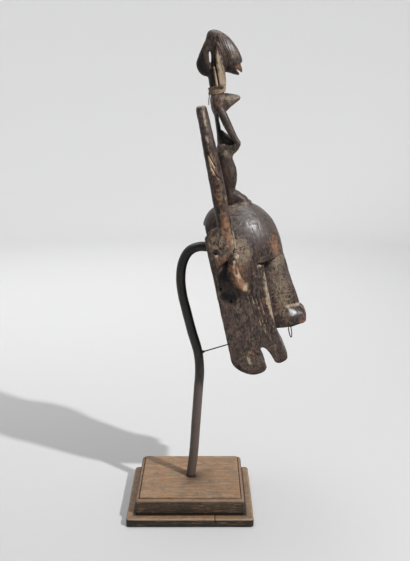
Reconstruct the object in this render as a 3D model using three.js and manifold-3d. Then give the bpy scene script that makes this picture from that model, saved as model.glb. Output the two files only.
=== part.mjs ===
// Carved wooden face mask with two horns and a standing figure, held by a bent steel rod
// on a stepped wooden plinth. Millimetres, +Z up, origin at the centre of the plinth's underside.
// The mask looks along +X, and its middle plane is y = 0.
import * as THREE from 'three';
import { mergeVertices } from 'three/addons/utils/BufferGeometryUtils.js';
import Module from 'manifold-3d';

const wasm = await Module();
wasm.setup();

// Driving dimensions: the mask, in its own frame. There x runs forward from the back plane,
// and z runs up along the mask from the tip of the jaw.
const MASK_TILT_DEG = 12;
const MASK_ORIGIN = [74.2, 0, 211.4];
const CHEEK_DEPTH = 79;
const CHEEK_HOLLOW = 5;
const SIDE_BOW = 2;
const BROW_HEIGHT = 188;
const BROW_SLOPE_DEG = 6;
const CROWN_HEIGHT = 284;
const SKULL_CENTRE = 46;
const FOREHEAD_REACH = 68;
const SKULL_BACK_REACH = 49;
const TEMPLE_HALF_WIDTH = 60;
const TEMPLE_HEIGHT = 214;
const SKULL_SIDES = 22;
const WALL = 10;
const CAVITY_DEPTH = 66;
const CAVITY_TOP = 257;
const CAVITY_BOTTOM = 30;
const NOSE_BRIDGE_HALF_WIDTH = 5;
const NOSE_BLOCK_HALF_WIDTH = 17;
const EYE_HEIGHT = 178;
const EYE_OFFSET = 24;
const PLATE_FACE = 72;
const PLATE_BACK = 58;
const COSTUME_HOLE_RADIUS = 4;
const HORN_OFFSET = 51;
const EAR_OFFSET = 69;

// Driving dimensions: the figure on the crown, in the mask's frame
const LEG_OFFSET = 12;
const ARM_OFFSET = 21;
const BREAST_OFFSET = 12;
const HEAD_HALF_WIDTH = 17;

// Driving dimensions: string, ring, rod and plinth
const STRING_RADIUS = 1.1;
const STRING_REACH = 11.8;
const STRING_TURNS = 4.5;
const STRING_PITCH = 2.4;
const STRING_CENTRE = 62.8;
const STRING_HEIGHT = 447;
const RING_RADIUS = 11;
const RING_WIRE_RADIUS = 0.9;
const RING_CENTRE = [100.6, 0, 62];
const RING_LEAN_DEG = 6;
const RING_TWIST_DEG = 7;
const ROD_RADIUS = 7.6;
const ROD_SIDES = 12;
const STRUT_RADIUS = 1;
const LOWER_TIER = { width: 200, depth: 187, height: 13 };
const UPPER_TIER = { width: 173, depth: 164, bandTop: 32.8, height: 27, setBack: 3.7 };
const CLEARANCE = 0.3;

// Solids

// A closed three.js geometry as a solid that can be cut and joined
function asSolid(geometry) {
  const bare = geometry.clone();
  bare.deleteAttribute('normal');
  bare.deleteAttribute('uv');
  const merged = mergeVertices(bare, 1e-4);
  const triVerts = merged.index.array;
  const vertProperties = merged.attributes.position.array;
  return new wasm.Manifold(new wasm.Mesh({ numProp: 3, vertProperties, triVerts }));
}

// A solid as a three.js geometry
function asGeometry(solid) {
  const mesh = solid.getMesh();
  const geometry = new THREE.BufferGeometry();
  geometry.setAttribute('position', new THREE.BufferAttribute(new Float32Array(mesh.vertProperties), 3));
  geometry.setIndex(new THREE.BufferAttribute(new Uint32Array(mesh.triVerts), 1));
  geometry.computeVertexNormals();
  return geometry;
}

const joined = (solids) => solids.reduce((whole, next) => whole.add(next));
const carved = (solid, cutters) => cutters.reduce((rest, cutter) => rest.subtract(cutter), solid);

// The same solid on the other side of the middle plane
const acrossMiddle = (solid) => solid.mirror([0, 1, 0]);
const bothSides = (solid) => [solid, acrossMiddle(solid)];

// The volume inside a closed surface, negative where its faces point inwards
function volumeInside(points, faces) {
  let sum = 0;
  for (let k = 0; k < faces.length; k += 3) {
    const [a, b, c] = [points[faces[k]], points[faces[k + 1]], points[faces[k + 2]]];
    sum += a.dot(new THREE.Vector3().crossVectors(b, c)) / 6;
  }
  return sum;
}

// A solid skinned over rings that all have the same number of points, closed at both ends
function loft(rings) {
  const count = rings[0].length;
  const points = rings.flat();
  const faces = [];
  for (let ring = 0; ring + 1 < rings.length; ring += 1) {
    for (let i = 0; i < count; i += 1) {
      const a = ring * count + i;
      const b = ring * count + ((i + 1) % count);
      faces.push(a, b, b + count, a, b + count, a + count);
    }
  }
  const middle = (ring) => ring.reduce((sum, p) => sum.add(p), new THREE.Vector3()).divideScalar(count);
  const last = (rings.length - 1) * count;
  const bottom = points.length;
  points.push(middle(rings[0]), middle(rings[rings.length - 1]));
  for (let i = 0; i < count; i += 1) {
    const next = (i + 1) % count;
    faces.push(bottom, next, i, bottom + 1, last + i, last + next);
  }
  const geometry = new THREE.BufferGeometry().setFromPoints(points);
  geometry.setIndex(volumeInside(points, faces) > 0 ? faces : faces.reverse());
  return asSolid(geometry);
}

// A value that runs smoothly through [position, value] pairs and stays level beyond them
function eased(pairs) {
  const curve = new THREE.CubicInterpolant(pairs.map(([at]) => at), pairs.map(([, value]) => value), 1);
  return (position) => curve.evaluate(position)[0];
}

// A bar with an oval section. Each station is [x, z, half thickness in the side view, half width];
// the bar lies at the given y, and each station may add its own shift in y.
function bar(stations, y, sides, steps) {
  const spine = new THREE.CatmullRomCurve3(
    stations.map(([x, z, , , shift = 0]) => new THREE.Vector3(x, y + shift, z)), false, 'centripetal');
  const total = (stations.length - 1) * steps;
  const rings = [];
  for (let k = 0; k <= total; k += 1) {
    const at = k / total;
    const centre = spine.getPoint(at);
    const along = spine.getTangent(at);
    const across = new THREE.Vector3(along.z, 0, -along.x).normalize();
    const outward = new THREE.Vector3().crossVectors(along, across).normalize();
    const span = Math.min(Math.floor(at * (stations.length - 1)), stations.length - 2);
    const blend = THREE.MathUtils.smoothstep(at * (stations.length - 1) - span, 0, 1);
    const thick = THREE.MathUtils.lerp(stations[span][2], stations[span + 1][2], blend);
    const wide = THREE.MathUtils.lerp(stations[span][3], stations[span + 1][3], blend);
    const ring = [];
    for (let i = 0; i < sides; i += 1) {
      const angle = (2 * Math.PI * i) / sides;
      ring.push(centre.clone()
        .addScaledVector(across, thick * Math.cos(angle))
        .addScaledVector(outward, wide * Math.sin(angle)));
    }
    rings.push(ring);
  }
  return loft(rings);
}

// A cushion-like body that has the given closed outline in the side view, full in its middle
// and thin at its edge. A higher fullness makes flatter sides.
function pillow(outline, y, halfWidth, fullness, outlineCount, levels = 3) {
  const closed = new THREE.CatmullRomCurve3(
    outline.map(([x, z]) => new THREE.Vector3(x, 0, z)), true, 'centripetal');
  const edge = closed.getSpacedPoints(outlineCount).slice(0, outlineCount);
  const centre = edge.reduce((sum, p) => sum.add(p), new THREE.Vector3()).divideScalar(outlineCount);
  const rings = [];
  for (let level = -levels; level <= levels; level += 1) {
    const rise = Math.sin((level / levels) * (Math.PI / 2) * 0.96);
    const reach = (1 - Math.abs(rise) ** fullness) ** (1 / fullness);
    rings.push(edge.map((p) => {
      const point = centre.clone().lerp(p, reach);
      point.y = y + halfWidth * rise;
      return point;
    }));
  }
  return loft(rings);
}

// A straight slab with the given side view, centred on y
function slab(shape, y, halfWidth, bevel = 0) {
  const geometry = new THREE.ExtrudeGeometry(shape, {
    depth: 2 * (halfWidth - bevel), bevelEnabled: bevel > 0, bevelThickness: bevel,
    bevelSize: bevel, bevelOffset: -bevel, bevelSegments: 1, curveSegments: 4,
  });
  geometry.rotateX(Math.PI / 2);
  geometry.translate(0, y + halfWidth - bevel, 0);
  return asSolid(geometry);
}

const polygon = (points) => new THREE.Shape(points.map(([x, z]) => new THREE.Vector2(x, z)));

// A straight round rod between two points
function roundRod(from, to, radius, sides = 16) {
  const start = new THREE.Vector3(...from);
  const end = new THREE.Vector3(...to);
  const geometry = new THREE.CylinderGeometry(radius, radius, start.distanceTo(end), sides);
  const direction = end.clone().sub(start).normalize();
  geometry.applyQuaternion(new THREE.Quaternion().setFromUnitVectors(new THREE.Vector3(0, 1, 0), direction));
  geometry.translate(...start.add(end).multiplyScalar(0.5).toArray());
  return asSolid(geometry);
}

// A shallow V cut across a side of the mask, from one [x, z] to another, with its floor at the given y
function incision(from, to, y, halfOpening, height = 6) {
  const start = new THREE.Vector2(...from);
  const end = new THREE.Vector2(...to);
  const half = new THREE.Vector2(-(end.y - start.y), end.x - start.x).normalize().multiplyScalar(halfOpening);
  const wedge = (p, spread) => {
    const outer = y - height;
    const scale = height / 2;
    return [
      new THREE.Vector3(p.x, y, p.y),
      new THREE.Vector3(p.x + half.x * spread * scale, outer, p.y + half.y * spread * scale),
      new THREE.Vector3(p.x - half.x * spread * scale, outer, p.y - half.y * spread * scale),
    ];
  };
  return loft([wedge(start, 0.4), wedge(start.clone().lerp(end, 0.5), 1), wedge(end, 0.4)]);
}

// The face

const wallHalfWidth = eased([[0, 26], [20, 34], [45, 46], [90, 58], [150, 64], [215, 67], [246, 60]]);
const ridgeHalfWidth = eased([[0, 18], [20, 22], [50, 28], [90, 37], [150, 45], [210, 50], [246, 46]]);
const ridgeDepth = eased([[28, 88], [60, 82], [80, CHEEK_DEPTH]]);
const cheekHollow = eased([[50, 0], [80, CHEEK_HOLLOW], [190, CHEEK_HOLLOW + 2]]);

// One level section of the face block: side walls from the back rim to the cheek ridges,
// and a front that is hollowed on both sides of the nose
function faceSection(z) {
  const rim = wallHalfWidth(z);
  const ridge = ridgeHalfWidth(z);
  const depth = ridgeDepth(z);
  const half = [];
  const wallSteps = 3;
  for (let i = 0; i <= wallSteps; i += 1) {
    const t = i / wallSteps;
    half.push([-4 + (depth + 1.5) * t, rim + (ridge - rim) * t + SIDE_BOW * Math.sin(Math.PI * t)]);
  }
  const frontSteps = 4;
  for (let i = 0; i < frontSteps; i += 1) {
    const t = i / frontSteps;
    const swell = z < 60 ? 2 * Math.sin((Math.PI / 2) * t) : 0;
    const hollow = cheekHollow(z) * Math.sin(Math.PI * Math.min(1, 1.25 * t));
    half.push([depth + swell - hollow, (ridge - 2.5) * (1 - t)]);
  }
  const near = half.map(([x, y]) => new THREE.Vector3(x, -y, z));
  const far = half.map(([x, y]) => new THREE.Vector3(x, y, z)).reverse();
  return [...near, ...far];
}

function faceBlock() {
  const levels = [4, 18, 32, 46, 60, 80, 100, 130, 165, 200, 222, 246];
  return loft(levels.map(faceSection));
}

// The side view of the face: back plane, jaw, mouth slot, lips and the front of the cheeks
function faceOutline() {
  const shape = new THREE.Shape();
  const round = (points) => shape.splineThru(points.map(([x, z]) => new THREE.Vector2(x, z)));
  shape.moveTo(0, 252);
  shape.lineTo(-0.5, 44);
  round([[1.5, 34], [6.5, 26], [15, 17], [24, 11]]);
  round([[32, 9.3], [41, 9.5], [49, 12.5], [52, 18]]);
  round([[50.5, 27], [47, 39], [46.7, 49], [49.5, 54.5]]);
  round([[53.5, 53.5], [58.5, 46], [63, 34.5], [66.5, 24]]);
  round([[73, 19], [81, 20], [87, 23], [89.5, 28]]);
  round([[88, 38], [85, 54], [82, 70]]);
  shape.lineTo(92, 76);
  shape.lineTo(92, 240);
  shape.lineTo(60, 252);
  shape.closePath();
  return shape;
}

// The skull: a bulging forehead over the brow and a rounded back
function skull() {
  const dome = CROWN_HEIGHT - 200;
  const backDome = CROWN_HEIGHT - 240;
  const sideDome = CROWN_HEIGHT - TEMPLE_HEIGHT;
  const shrink = (z, start, height) => {
    const up = THREE.MathUtils.clamp((z - start) / height, 0, 1);
    return (1 - up ** 2.25) ** (1 / 2.25);
  };
  const rings = [];
  const levels = [176, 190, 204];
  const domeLevels = 8;
  for (let k = 1; k <= domeLevels; k += 1) {
    levels.push(204 + (CROWN_HEIGHT - 204.6) * Math.sin((k / domeLevels) * (Math.PI / 2)));
  }
  for (const z of levels) {
    const front = FOREHEAD_REACH * shrink(z, 200, dome);
    const back = SKULL_BACK_REACH * shrink(z, 240, backDome);
    const side = TEMPLE_HALF_WIDTH * shrink(z, TEMPLE_HEIGHT, sideDome);
    const ring = [];
    for (let i = 0; i < SKULL_SIDES; i += 1) {
      const angle = (2 * Math.PI * i) / SKULL_SIDES;
      const [cos, sin] = [Math.cos(angle), Math.sin(angle)];
      const reach = cos > 0 ? front : back;
      const fullness = cos > 0 ? 0.92 : 0.7;
      const x = SKULL_CENTRE + reach * Math.sign(cos) * Math.abs(cos) ** fullness;
      ring.push(new THREE.Vector3(x, side * Math.sign(sin) * Math.abs(sin) ** fullness, z));
    }
    rings.push(ring);
  }
  const rise = Math.tan(THREE.MathUtils.degToRad(BROW_SLOPE_DEG));
  const underBrow = polygon([
    [-20, 150], [140, 150], [140, BROW_HEIGHT + 70 * rise], [-20, BROW_HEIGHT - 90 * rise],
  ]);
  return loft(rings).subtract(slab(underBrow, 0, 90));
}

// The wedge of the nose and the block of its nostrils
function nose() {
  const ridge = eased([[72, 125], [106, 123.5], [152, 117.5], [192, 113.5]]);
  const rings = [80, 106, 130, 152, 172, 196].map((z) => {
    const spread = THREE.MathUtils.mapLinear(z, 80, 196, 1.7, 1);
    const front = ridge(z);
    const top = NOSE_BRIDGE_HALF_WIDTH * spread;
    const base = 8.5 * spread;
    const half = [[60, base], [front - 5, top], [front, top - 3.5]];
    const near = half.map(([x, y]) => new THREE.Vector3(x, -y, z));
    return [...near, ...half.map(([x, y]) => new THREE.Vector3(x, y, z)).reverse()];
  });
  const block = polygon([[70, 75], [83, 73], [100, 70.7], [112, 70.7], [126, 71.5], [129.5, 76], [130.5, 86],
    [129, 97], [125, 102.5], [102, 107], [82, 110], [70, 110]]);
  return joined([loft(rings), slab(block, 0, NOSE_BLOCK_HALF_WIDTH, 2)]);
}

// The raised band at the temple that the horn grows from
function templePlate() {
  const shape = polygon([[0, 194], [6, 196], [35, 212], [40, 232], [41, 258], [24, 258], [6, 257], [0, 252]]);
  return slab(shape, -(PLATE_FACE + PLATE_BACK) / 2, (PLATE_FACE - PLATE_BACK) / 2, 1.5);
}

function horn() {
  return bar([
    [32, 222, 9, 18], [31, 244, 10, 16], [32.5, 268, 10.5, 14], [33.9, 300, 11.3, 13], [34.3, 335, 11, 12.5],
    [34.4, 372, 10, 11.5], [34.4, 405, 8.9, 10.2], [34.3, 429, 8.2, 9], [34.4, 435, 6.8, 7.6],
  ], -HORN_OFFSET, 12, 1);
}

// A crescent, open towards the face
function ear() {
  const rim = bar([
    [42, 214, 4.5, 6], [35, 204, 7.5, 9], [31, 191, 9.2, 11], [33, 176, 9.4, 11], [40, 163, 7.5, 9],
    [46, 156, 4, 6],
  ], -EAR_OFFSET, 8, 2);
  const scoop = bar([
    [46, 208, 3, 4], [39.5, 197, 4, 6], [37.5, 186, 4, 6], [41, 174, 3.5, 5], [47, 166, 3, 4],
  ], -EAR_OFFSET - 11, 6, 1);
  return rim.subtract(scoop);
}

// The hollow behind the face. It is shallow behind the mouth slot.
const cavityDepth = eased([[CAVITY_BOTTOM, 26], [60, 34], [84, CAVITY_DEPTH]]);

function cavity() {
  const rings = [];
  for (const z of [CAVITY_BOTTOM, 38, 56, 80, 120, 170, 225, 244, 251, CAVITY_TOP]) {
    const end = Math.min(1, (z - CAVITY_BOTTOM + 8) / 30, (CAVITY_TOP - z + 6) / 24);
    const half = (wallHalfWidth(z) - WALL) * Math.sqrt(end);
    const depth = 4 + cavityDepth(z) * (0.7 + 0.3 * Math.sqrt(end));
    const ring = [];
    for (let i = 0; i <= 10; i += 1) {
      const angle = -Math.PI / 2 + (Math.PI * i) / 10;
      const x = -4 + depth * Math.abs(Math.cos(angle)) ** 0.6;
      ring.push(new THREE.Vector3(x, half * Math.sign(angle) * Math.abs(Math.sin(angle)) ** 0.8, z));
    }
    rings.push(ring);
  }
  return loft(rings);
}

// Slits under the brow, and the holes that a costume was tied through
function holes() {
  const eye = new THREE.BoxGeometry(60, 14, 6);
  eye.translate(70, -EYE_OFFSET, EYE_HEIGHT);
  const tie = roundRod([12, -90, 223], [12, -30, 223], COSTUME_HOLE_RADIUS, 10);
  const lowTie = roundRod([20, -90, 144], [20, -30, 144], 2.2, 6);
  return [asSolid(eye), tie, lowTie].flatMap(bothSides);
}

// Parallel lines cut into each cheek
function cheekLines() {
  const lines = [
    [[46, 149], [50, 116]], [[52, 150], [58, 100]], [[58, 143], [62, 109]], [[64, 138], [67, 112]],
  ];
  const wallAt = (x, z) => {
    const t = x / ridgeDepth(z);
    return THREE.MathUtils.lerp(wallHalfWidth(z), ridgeHalfWidth(z), t) + SIDE_BOW * Math.sin(Math.PI * t);
  };
  return lines.flatMap(([from, to]) => {
    const middle = wallAt((from[0] + to[0]) / 2, (from[1] + to[1]) / 2);
    return bothSides(incision(from, to, -middle + 1.6, 0.7));
  });
}

// The figure

function leg() {
  const upright = bar([[51, 281, 9, 7], [51.5, 303, 8.6, 7.5], [53.5, 318, 12, 9], [54.5, 331, 13.3, 9.5],
    [53, 348, 12.7, 10], [54, 362, 12.5, 11]], -LEG_OFFSET, 10, 1);
  const foot = pillow([
    [44, 281], [45, 294], [55, 299], [62, 298], [69, 291], [75.5, 284], [76, 279], [60, 276],
  ], -LEG_OFFSET, 8, 2.4, 12, 2);
  return joined([upright, foot]);
}

// Bent at the elbow, with the hand on the hip
function arm() {
  const upper = bar([
    [58.5, 437, 5, 5, 6], [63.5, 416, 6.2, 5.8, 1], [68.5, 396, 6.2, 5.8], [73, 380, 5.2, 5.5],
    [78, 368, 4.6, 5],
  ], -ARM_OFFSET, 8, 2);
  const lower = bar([[79, 370, 3.8, 5], [72, 364, 6, 5.5, 1], [62, 360, 8, 6, 4]], -ARM_OFFSET, 8, 1);
  return joined([upper, lower]);
}

function torso() {
  const trunk = bar([
    [56, 362, 12, 17], [55, 374, 7.5, 13], [53.2, 388, 4.4, 12], [54.2, 400, 4, 12], [56, 412, 5, 14],
    [59, 425, 8, 18], [61, 438, 10.5, 15], [62, 444, 9.5, 9],
  ], 0, 12, 1);
  const hip = pillow([
    [43.5, 361], [46, 371], [53, 374], [64, 371.5], [71, 366], [68, 353], [55, 346], [45, 350],
  ], 0, 22, 3, 12, 2);
  const belly = pillow([[50, 364], [50, 387], [56.5, 393], [64, 386], [71, 379], [77, 372], [72, 362]],
    0, 15, 2.6, 12, 2);
  return joined([trunk, hip, belly]);
}

function breast() {
  return pillow([[62, 444], [72, 445.5], [84, 442], [94, 437], [95.5, 433], [86, 427.5], [77, 423], [68, 418],
    [60, 424]], -BREAST_OFFSET, 9, 1.5, 16, 2);
}

// Neck, with the long side locks of the hair lying against it
function neck() {
  const column = bar([[62, 436, 11, 12], [STRING_CENTRE, 444, 10.1, 10.1], [STRING_CENTRE, 461, 10.1, 10.1],
    [65, 470, 12, 11.5], [68, 490, 12, 11.5]], 0, 12, 1);
  const lock = bar([[72.3, 462, 5, 4, 4], [74, 478, 5.5, 4.5, 1.5], [75, 493, 5.5, 4.6], [76, 519, 4, 3, 2]],
    -13.5, 6, 1);
  const rearLock = bar([[64.4, 463, 2, 2.6, 3], [64.4, 480, 2.4, 3, 2], [65, 496, 2, 3, 2]], -13.5, 6, 1);
  return joined([column, ...bothSides(lock), ...bothSides(rearLock)]);
}

// Head with its crested hair: a forward wedge, a bun behind, and a slit between bun and neck
function head() {
  const wedge = pillow([
    [64, 533], [70, 538], [79, 537], [90, 529], [98, 519], [104, 507], [107, 497], [108.5, 486],
    [106, 479], [105.5, 471], [101, 466], [92, 469], [82, 474], [68, 476], [60, 500],
  ], 0, HEAD_HALF_WIDTH, 2.2, 20);
  const bun = pillow([
    [70, 534], [66, 532], [60, 525], [52.5, 515.5], [45.5, 505], [41, 497.5], [40, 488.5], [43.5, 480],
    [50.5, 474.5], [60, 473], [70, 490], [74, 515],
  ], 0, 13, 2.2, 18, 2);
  const slitOutline = [[59.4, 493], [61.8, 492], [64.6, 506], [63.6, 510], [61.6, 509], [60.2, 502]];
  const slit = slab(polygon(slitOutline), 0, 30);
  const mouth = slab(polygon([[112, 473], [99, 477.5], [99.5, 479], [112, 477]]), 0, 30);
  const braids = [0, 1, 2].flatMap((k) => {
    const from = [80 + 6 * k, 514 - 5 * k];
    const to = [88 + 6 * k, 479 + 3 * k];
    return bothSides(incision(from, to, -HEAD_HALF_WIDTH + 3.2 + 0.6 * k, 0.5));
  });
  return carved(joined([wedge, bun]), [slit, mouth, ...braids]);
}

function figure() {
  const pad = pillow([[41, 274], [43, 282], [58, 284], [73, 282.5], [81, 277], [60, 268]], 0, 24, 3, 14, 2);
  const limbs = [leg(), arm(), breast()].flatMap(bothSides);
  return joined([pad, ...limbs, torso(), neck(), head()]);
}

// The rod's route in the side view of the object. Its foot stands a little behind the middle plane.
const ROD_FOOT_BACK = 4;
const ROD_STRAIGHT_ABOVE = 250;
const ROD_ROUTE = [
  [-1, 26], [0, 41], [5, 82], [9, 138], [13, 194], [15, 226], [12.5, 256], [3, 290], [-6, 326],
  [-12, 352], [-14.5, 378], [-11, 404], [-1, 421.5], [14, 428.5], [30, 428], [62, 424.5], [101, 421.5],
];

// The bent rod, grown by a clearance where it is to cut its own seat
function rod(clearance = 0) {
  const stations = ROD_ROUTE.map(([x, z]) => {
    const back = ROD_FOOT_BACK * (1 - THREE.MathUtils.smoothstep(z, 40, ROD_STRAIGHT_ABOVE));
    return new THREE.Vector3(x, back, z);
  });
  const route = new THREE.CatmullRomCurve3(stations, false, 'centripetal');
  const radius = ROD_RADIUS + clearance;
  const section = new THREE.Shape();
  for (let i = 0; i < ROD_SIDES; i += 1) {
    const angle = (2 * Math.PI * i) / ROD_SIDES;
    section[i ? 'lineTo' : 'moveTo'](radius * Math.cos(angle), radius * Math.sin(angle));
  }
  section.closePath();
  const steps = 31;
  return asSolid(new THREE.ExtrudeGeometry(section, { steps, bevelEnabled: false, extrudePath: route }));
}

// The thin strut from the rod to the wood behind the mouth
const STRUT_FROM = [20.8, 0, 257.2];
const STRUT_TO = [98, 0, 280.8];

function strut(clearance = 0) {
  return roundRod(STRUT_FROM, STRUT_TO, STRUT_RADIUS + clearance, 8);
}

// The plinth

// A stepped block. Each level is [distance in from the full width and depth, height], from the bottom up.
function mouldedBlock(width, depth, levels, corner) {
  return loft(levels.map(([inset, z]) => {
    const x = width / 2 - inset;
    const y = depth / 2 - inset;
    const outline = [[x - corner, -y], [x, corner - y], [x, y - corner], [x - corner, y],
      [corner - x, y], [-x, y - corner], [-x, corner - y], [corner - x, -y]];
    return outline.map(([px, py]) => new THREE.Vector3(px, py, z));
  }));
}

function lowerTier() {
  const { width, depth, height } = LOWER_TIER;
  const levels = [[0.8, 0], [0, 1], [0, height - 2.4], [0.7, height - 0.8], [2.4, height]];
  return mouldedBlock(width, depth, levels, 5);
}

// A plain band below, a rounded moulding and a groove above it, and the panel inside them.
// The tier stands a little behind the middle of the lower one.
function upperTier() {
  const { width, depth, bandTop, height, setBack } = UPPER_TIER;
  const base = LOWER_TIER.height + CLEARANCE;
  const top = LOWER_TIER.height + height;
  const levels = [[1, base], [0, base + 1], [0, bandTop - 1], [0.7, bandTop], [1.6, bandTop + 2.2],
    [3.2, bandTop + 3.8], [4.8, bandTop + 4.2], [5.2, bandTop + 2.8], [6.2, bandTop + 2.8], [6.6, top - 1],
    [7.6, top]];
  return mouldedBlock(width, depth, levels, 2.5).translate([0, setBack, 0]).subtract(rod(CLEARANCE));
}

// The string and the ring

// Windings of twisted fibre round the foot of the figure's neck, with a knot and an end that hangs behind,
// and the stub of the other end in front
function neckString() {
  const perTurn = 9;
  const rings = [];
  for (let k = 0; k <= STRING_TURNS * perTurn; k += 1) {
    const angle = Math.PI + (2 * Math.PI * k) / perTurn;
    const outward = new THREE.Vector3(Math.cos(angle), Math.sin(angle), 0);
    const centre = new THREE.Vector3(STRING_CENTRE, 0, STRING_HEIGHT + (STRING_PITCH * k) / perTurn)
      .addScaledVector(outward, STRING_REACH);
    rings.push([0, 1, 2, 3, 4].map((i) => centre.clone()
      .addScaledVector(outward, STRING_RADIUS * Math.cos((2 * Math.PI * i) / 5))
      .add(new THREE.Vector3(0, 0, STRING_RADIUS * Math.sin((2 * Math.PI * i) / 5)))));
  }
  const winding = loft(rings);
  const back = STRING_CENTRE - STRING_REACH;
  const knot = bar([[back, STRING_HEIGHT + 5, 1.5, 2.4], [back - 0.8, STRING_HEIGHT + 2, 2.1, 3.2],
    [back, STRING_HEIGHT - 1, 1.3, 2.2]], 0, 6, 1);
  const end = bar([[back - 0.8, STRING_HEIGHT + 1, 0.8, 0.8], [back - 2.6, STRING_HEIGHT - 5, 0.8, 0.8],
    [back - 4.6, STRING_HEIGHT - 14, 0.7, 0.7]], 0, 5, 1);
  const front = STRING_CENTRE + STRING_REACH;
  const tag = bar([[front - 0.6, STRING_HEIGHT + 2, 0.9, 0.9], [front + 1.2, STRING_HEIGHT + 5, 0.8, 0.8],
    [front + 1.8, STRING_HEIGHT + 8.5, 0.6, 0.6]], 0, 5, 1);
  return joined([winding, knot, end, tag]);
}

function ringGeometry(wire) {
  const ring = new THREE.TorusGeometry(RING_RADIUS, wire, 5, 18);
  ring.rotateY(THREE.MathUtils.degToRad(90 + RING_LEAN_DEG));
  ring.rotateZ(THREE.MathUtils.degToRad(RING_TWIST_DEG));
  ring.translate(...RING_CENTRE);
  return ring;
}

// The object

function finish(color, roughness, metalness) {
  return new THREE.MeshStandardMaterial({ color, roughness, metalness });
}

const DARK_WOOD = finish(0x3a2a20, 0.5, 0);
const OAK = finish(0x7a5230, 0.6, 0);
const IRON = finish(0x3b3330, 0.55, 0.9);
const FIBRE = finish(0xa48a6a, 0.9, 0);

function part(name, geometry, material) {
  const mesh = new THREE.Mesh(geometry, material);
  mesh.name = name;
  return mesh;
}

const maskFrame = new THREE.Matrix4()
  .makeTranslation(...MASK_ORIGIN)
  .multiply(new THREE.Matrix4().makeRotationY(-THREE.MathUtils.degToRad(MASK_TILT_DEG)));

// The seats of the rod and its strut in the wood, seen from the mask's own frame
function rodSeats() {
  const toMask = maskFrame.clone().invert();
  return [rod(CLEARANCE), strut(CLEARANCE)].map((grown) => asSolid(asGeometry(grown).applyMatrix4(toMask)));
}

function maskGeometry() {
  const face = faceBlock().intersect(slab(faceOutline(), 0, 90));
  const head = joined([face, skull(), nose(), ...[templePlate(), horn(), ear()].flatMap(bothSides)]);
  const ringBore = asSolid(ringGeometry(RING_WIRE_RADIUS + CLEARANCE));
  const hollowed = carved(head, [cavity(), ...holes(), ...cheekLines(), ringBore, ...rodSeats()]);
  return asGeometry(hollowed.add(figure()));
}

const mask = new THREE.Group();
mask.applyMatrix4(maskFrame);
mask.add(part('mask', maskGeometry(), DARK_WOOD));
mask.add(part('nose_ring', ringGeometry(RING_WIRE_RADIUS), IRON));
mask.add(part('neck_string', asGeometry(neckString()), FIBRE));

const object = new THREE.Group();
object.add(mask);
object.add(part('support_rod', asGeometry(rod()), IRON));
object.add(part('rod_strut', asGeometry(strut()), IRON));
object.add(part('plinth_lower', asGeometry(lowerTier()), OAK));
object.add(part('plinth_upper', asGeometry(upperTier()), OAK));

export default object;
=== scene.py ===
# %% [markdown]
# # A carved face mask on its stand
# The object is a wooden face mask with two horns and a small standing figure on its crown. A bent
# steel rod holds it above a stepped wooden plinth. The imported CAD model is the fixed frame: it says
# where every piece sits. This file dresses it. Most pieces are made again here with more detail,
# inside the same space, and each gets its own procedural finish.

# %% Load the frame
import math

import bmesh
import bpy
import numpy as np
import openvdb
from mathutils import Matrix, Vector


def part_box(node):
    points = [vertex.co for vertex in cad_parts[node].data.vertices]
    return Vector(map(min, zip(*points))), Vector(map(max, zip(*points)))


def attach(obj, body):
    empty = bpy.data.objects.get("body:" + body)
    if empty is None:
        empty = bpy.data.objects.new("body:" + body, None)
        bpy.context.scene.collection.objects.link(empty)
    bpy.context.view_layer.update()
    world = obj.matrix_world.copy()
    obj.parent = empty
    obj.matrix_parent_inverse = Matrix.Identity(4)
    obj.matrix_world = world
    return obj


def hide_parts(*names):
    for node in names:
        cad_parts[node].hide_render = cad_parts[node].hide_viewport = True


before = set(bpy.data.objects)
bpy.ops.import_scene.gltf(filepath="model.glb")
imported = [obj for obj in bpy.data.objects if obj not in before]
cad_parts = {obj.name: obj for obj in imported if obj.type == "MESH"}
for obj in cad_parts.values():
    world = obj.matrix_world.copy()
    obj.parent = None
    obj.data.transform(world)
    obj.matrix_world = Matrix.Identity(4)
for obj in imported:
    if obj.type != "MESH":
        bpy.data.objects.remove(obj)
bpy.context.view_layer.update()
MM = 0.001
for name in sorted(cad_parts):
    low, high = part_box(name)
    print(name, "size in mm", [round((b - a) / MM, 1) for a, b in zip(low, high)])

# %% [markdown]
# ## Camera
# The view is from the object's right side, a little above it. A long lens, about 51 mm on a sensor
# whose long side is 36 mm, keeps the plinth's sides nearly parallel. The camera looks along +Y and
# down by 12.55 degrees.

# %% The camera
CAMERA_PLACE = (0.0237, -1.231, 0.6484)
CAMERA_PITCH = math.radians(90 - 12.55)
CAMERA_LENS = 51.34

camera_data = bpy.data.cameras.new("camera")
camera_data.lens = CAMERA_LENS
camera_data.clip_end = 50
camera = bpy.data.objects.new("camera", camera_data)
camera.location = CAMERA_PLACE
camera.rotation_euler = (CAMERA_PITCH, 0, 0)
bpy.context.scene.collection.objects.link(camera)
bpy.context.scene.camera = camera
print("camera at", CAMERA_PLACE)

# %% [markdown]
# ## Curves and lofts
# A carver works from a few true sections. So does this file: every form is a stack of closed rings,
# and smooth curves through a few named points give each ring its place and width.
# Sizes are millimetres in the mask's own frame, where u runs forward from the back plane, y is
# across, and w runs up along the mask from the tip of the jaw.

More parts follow.
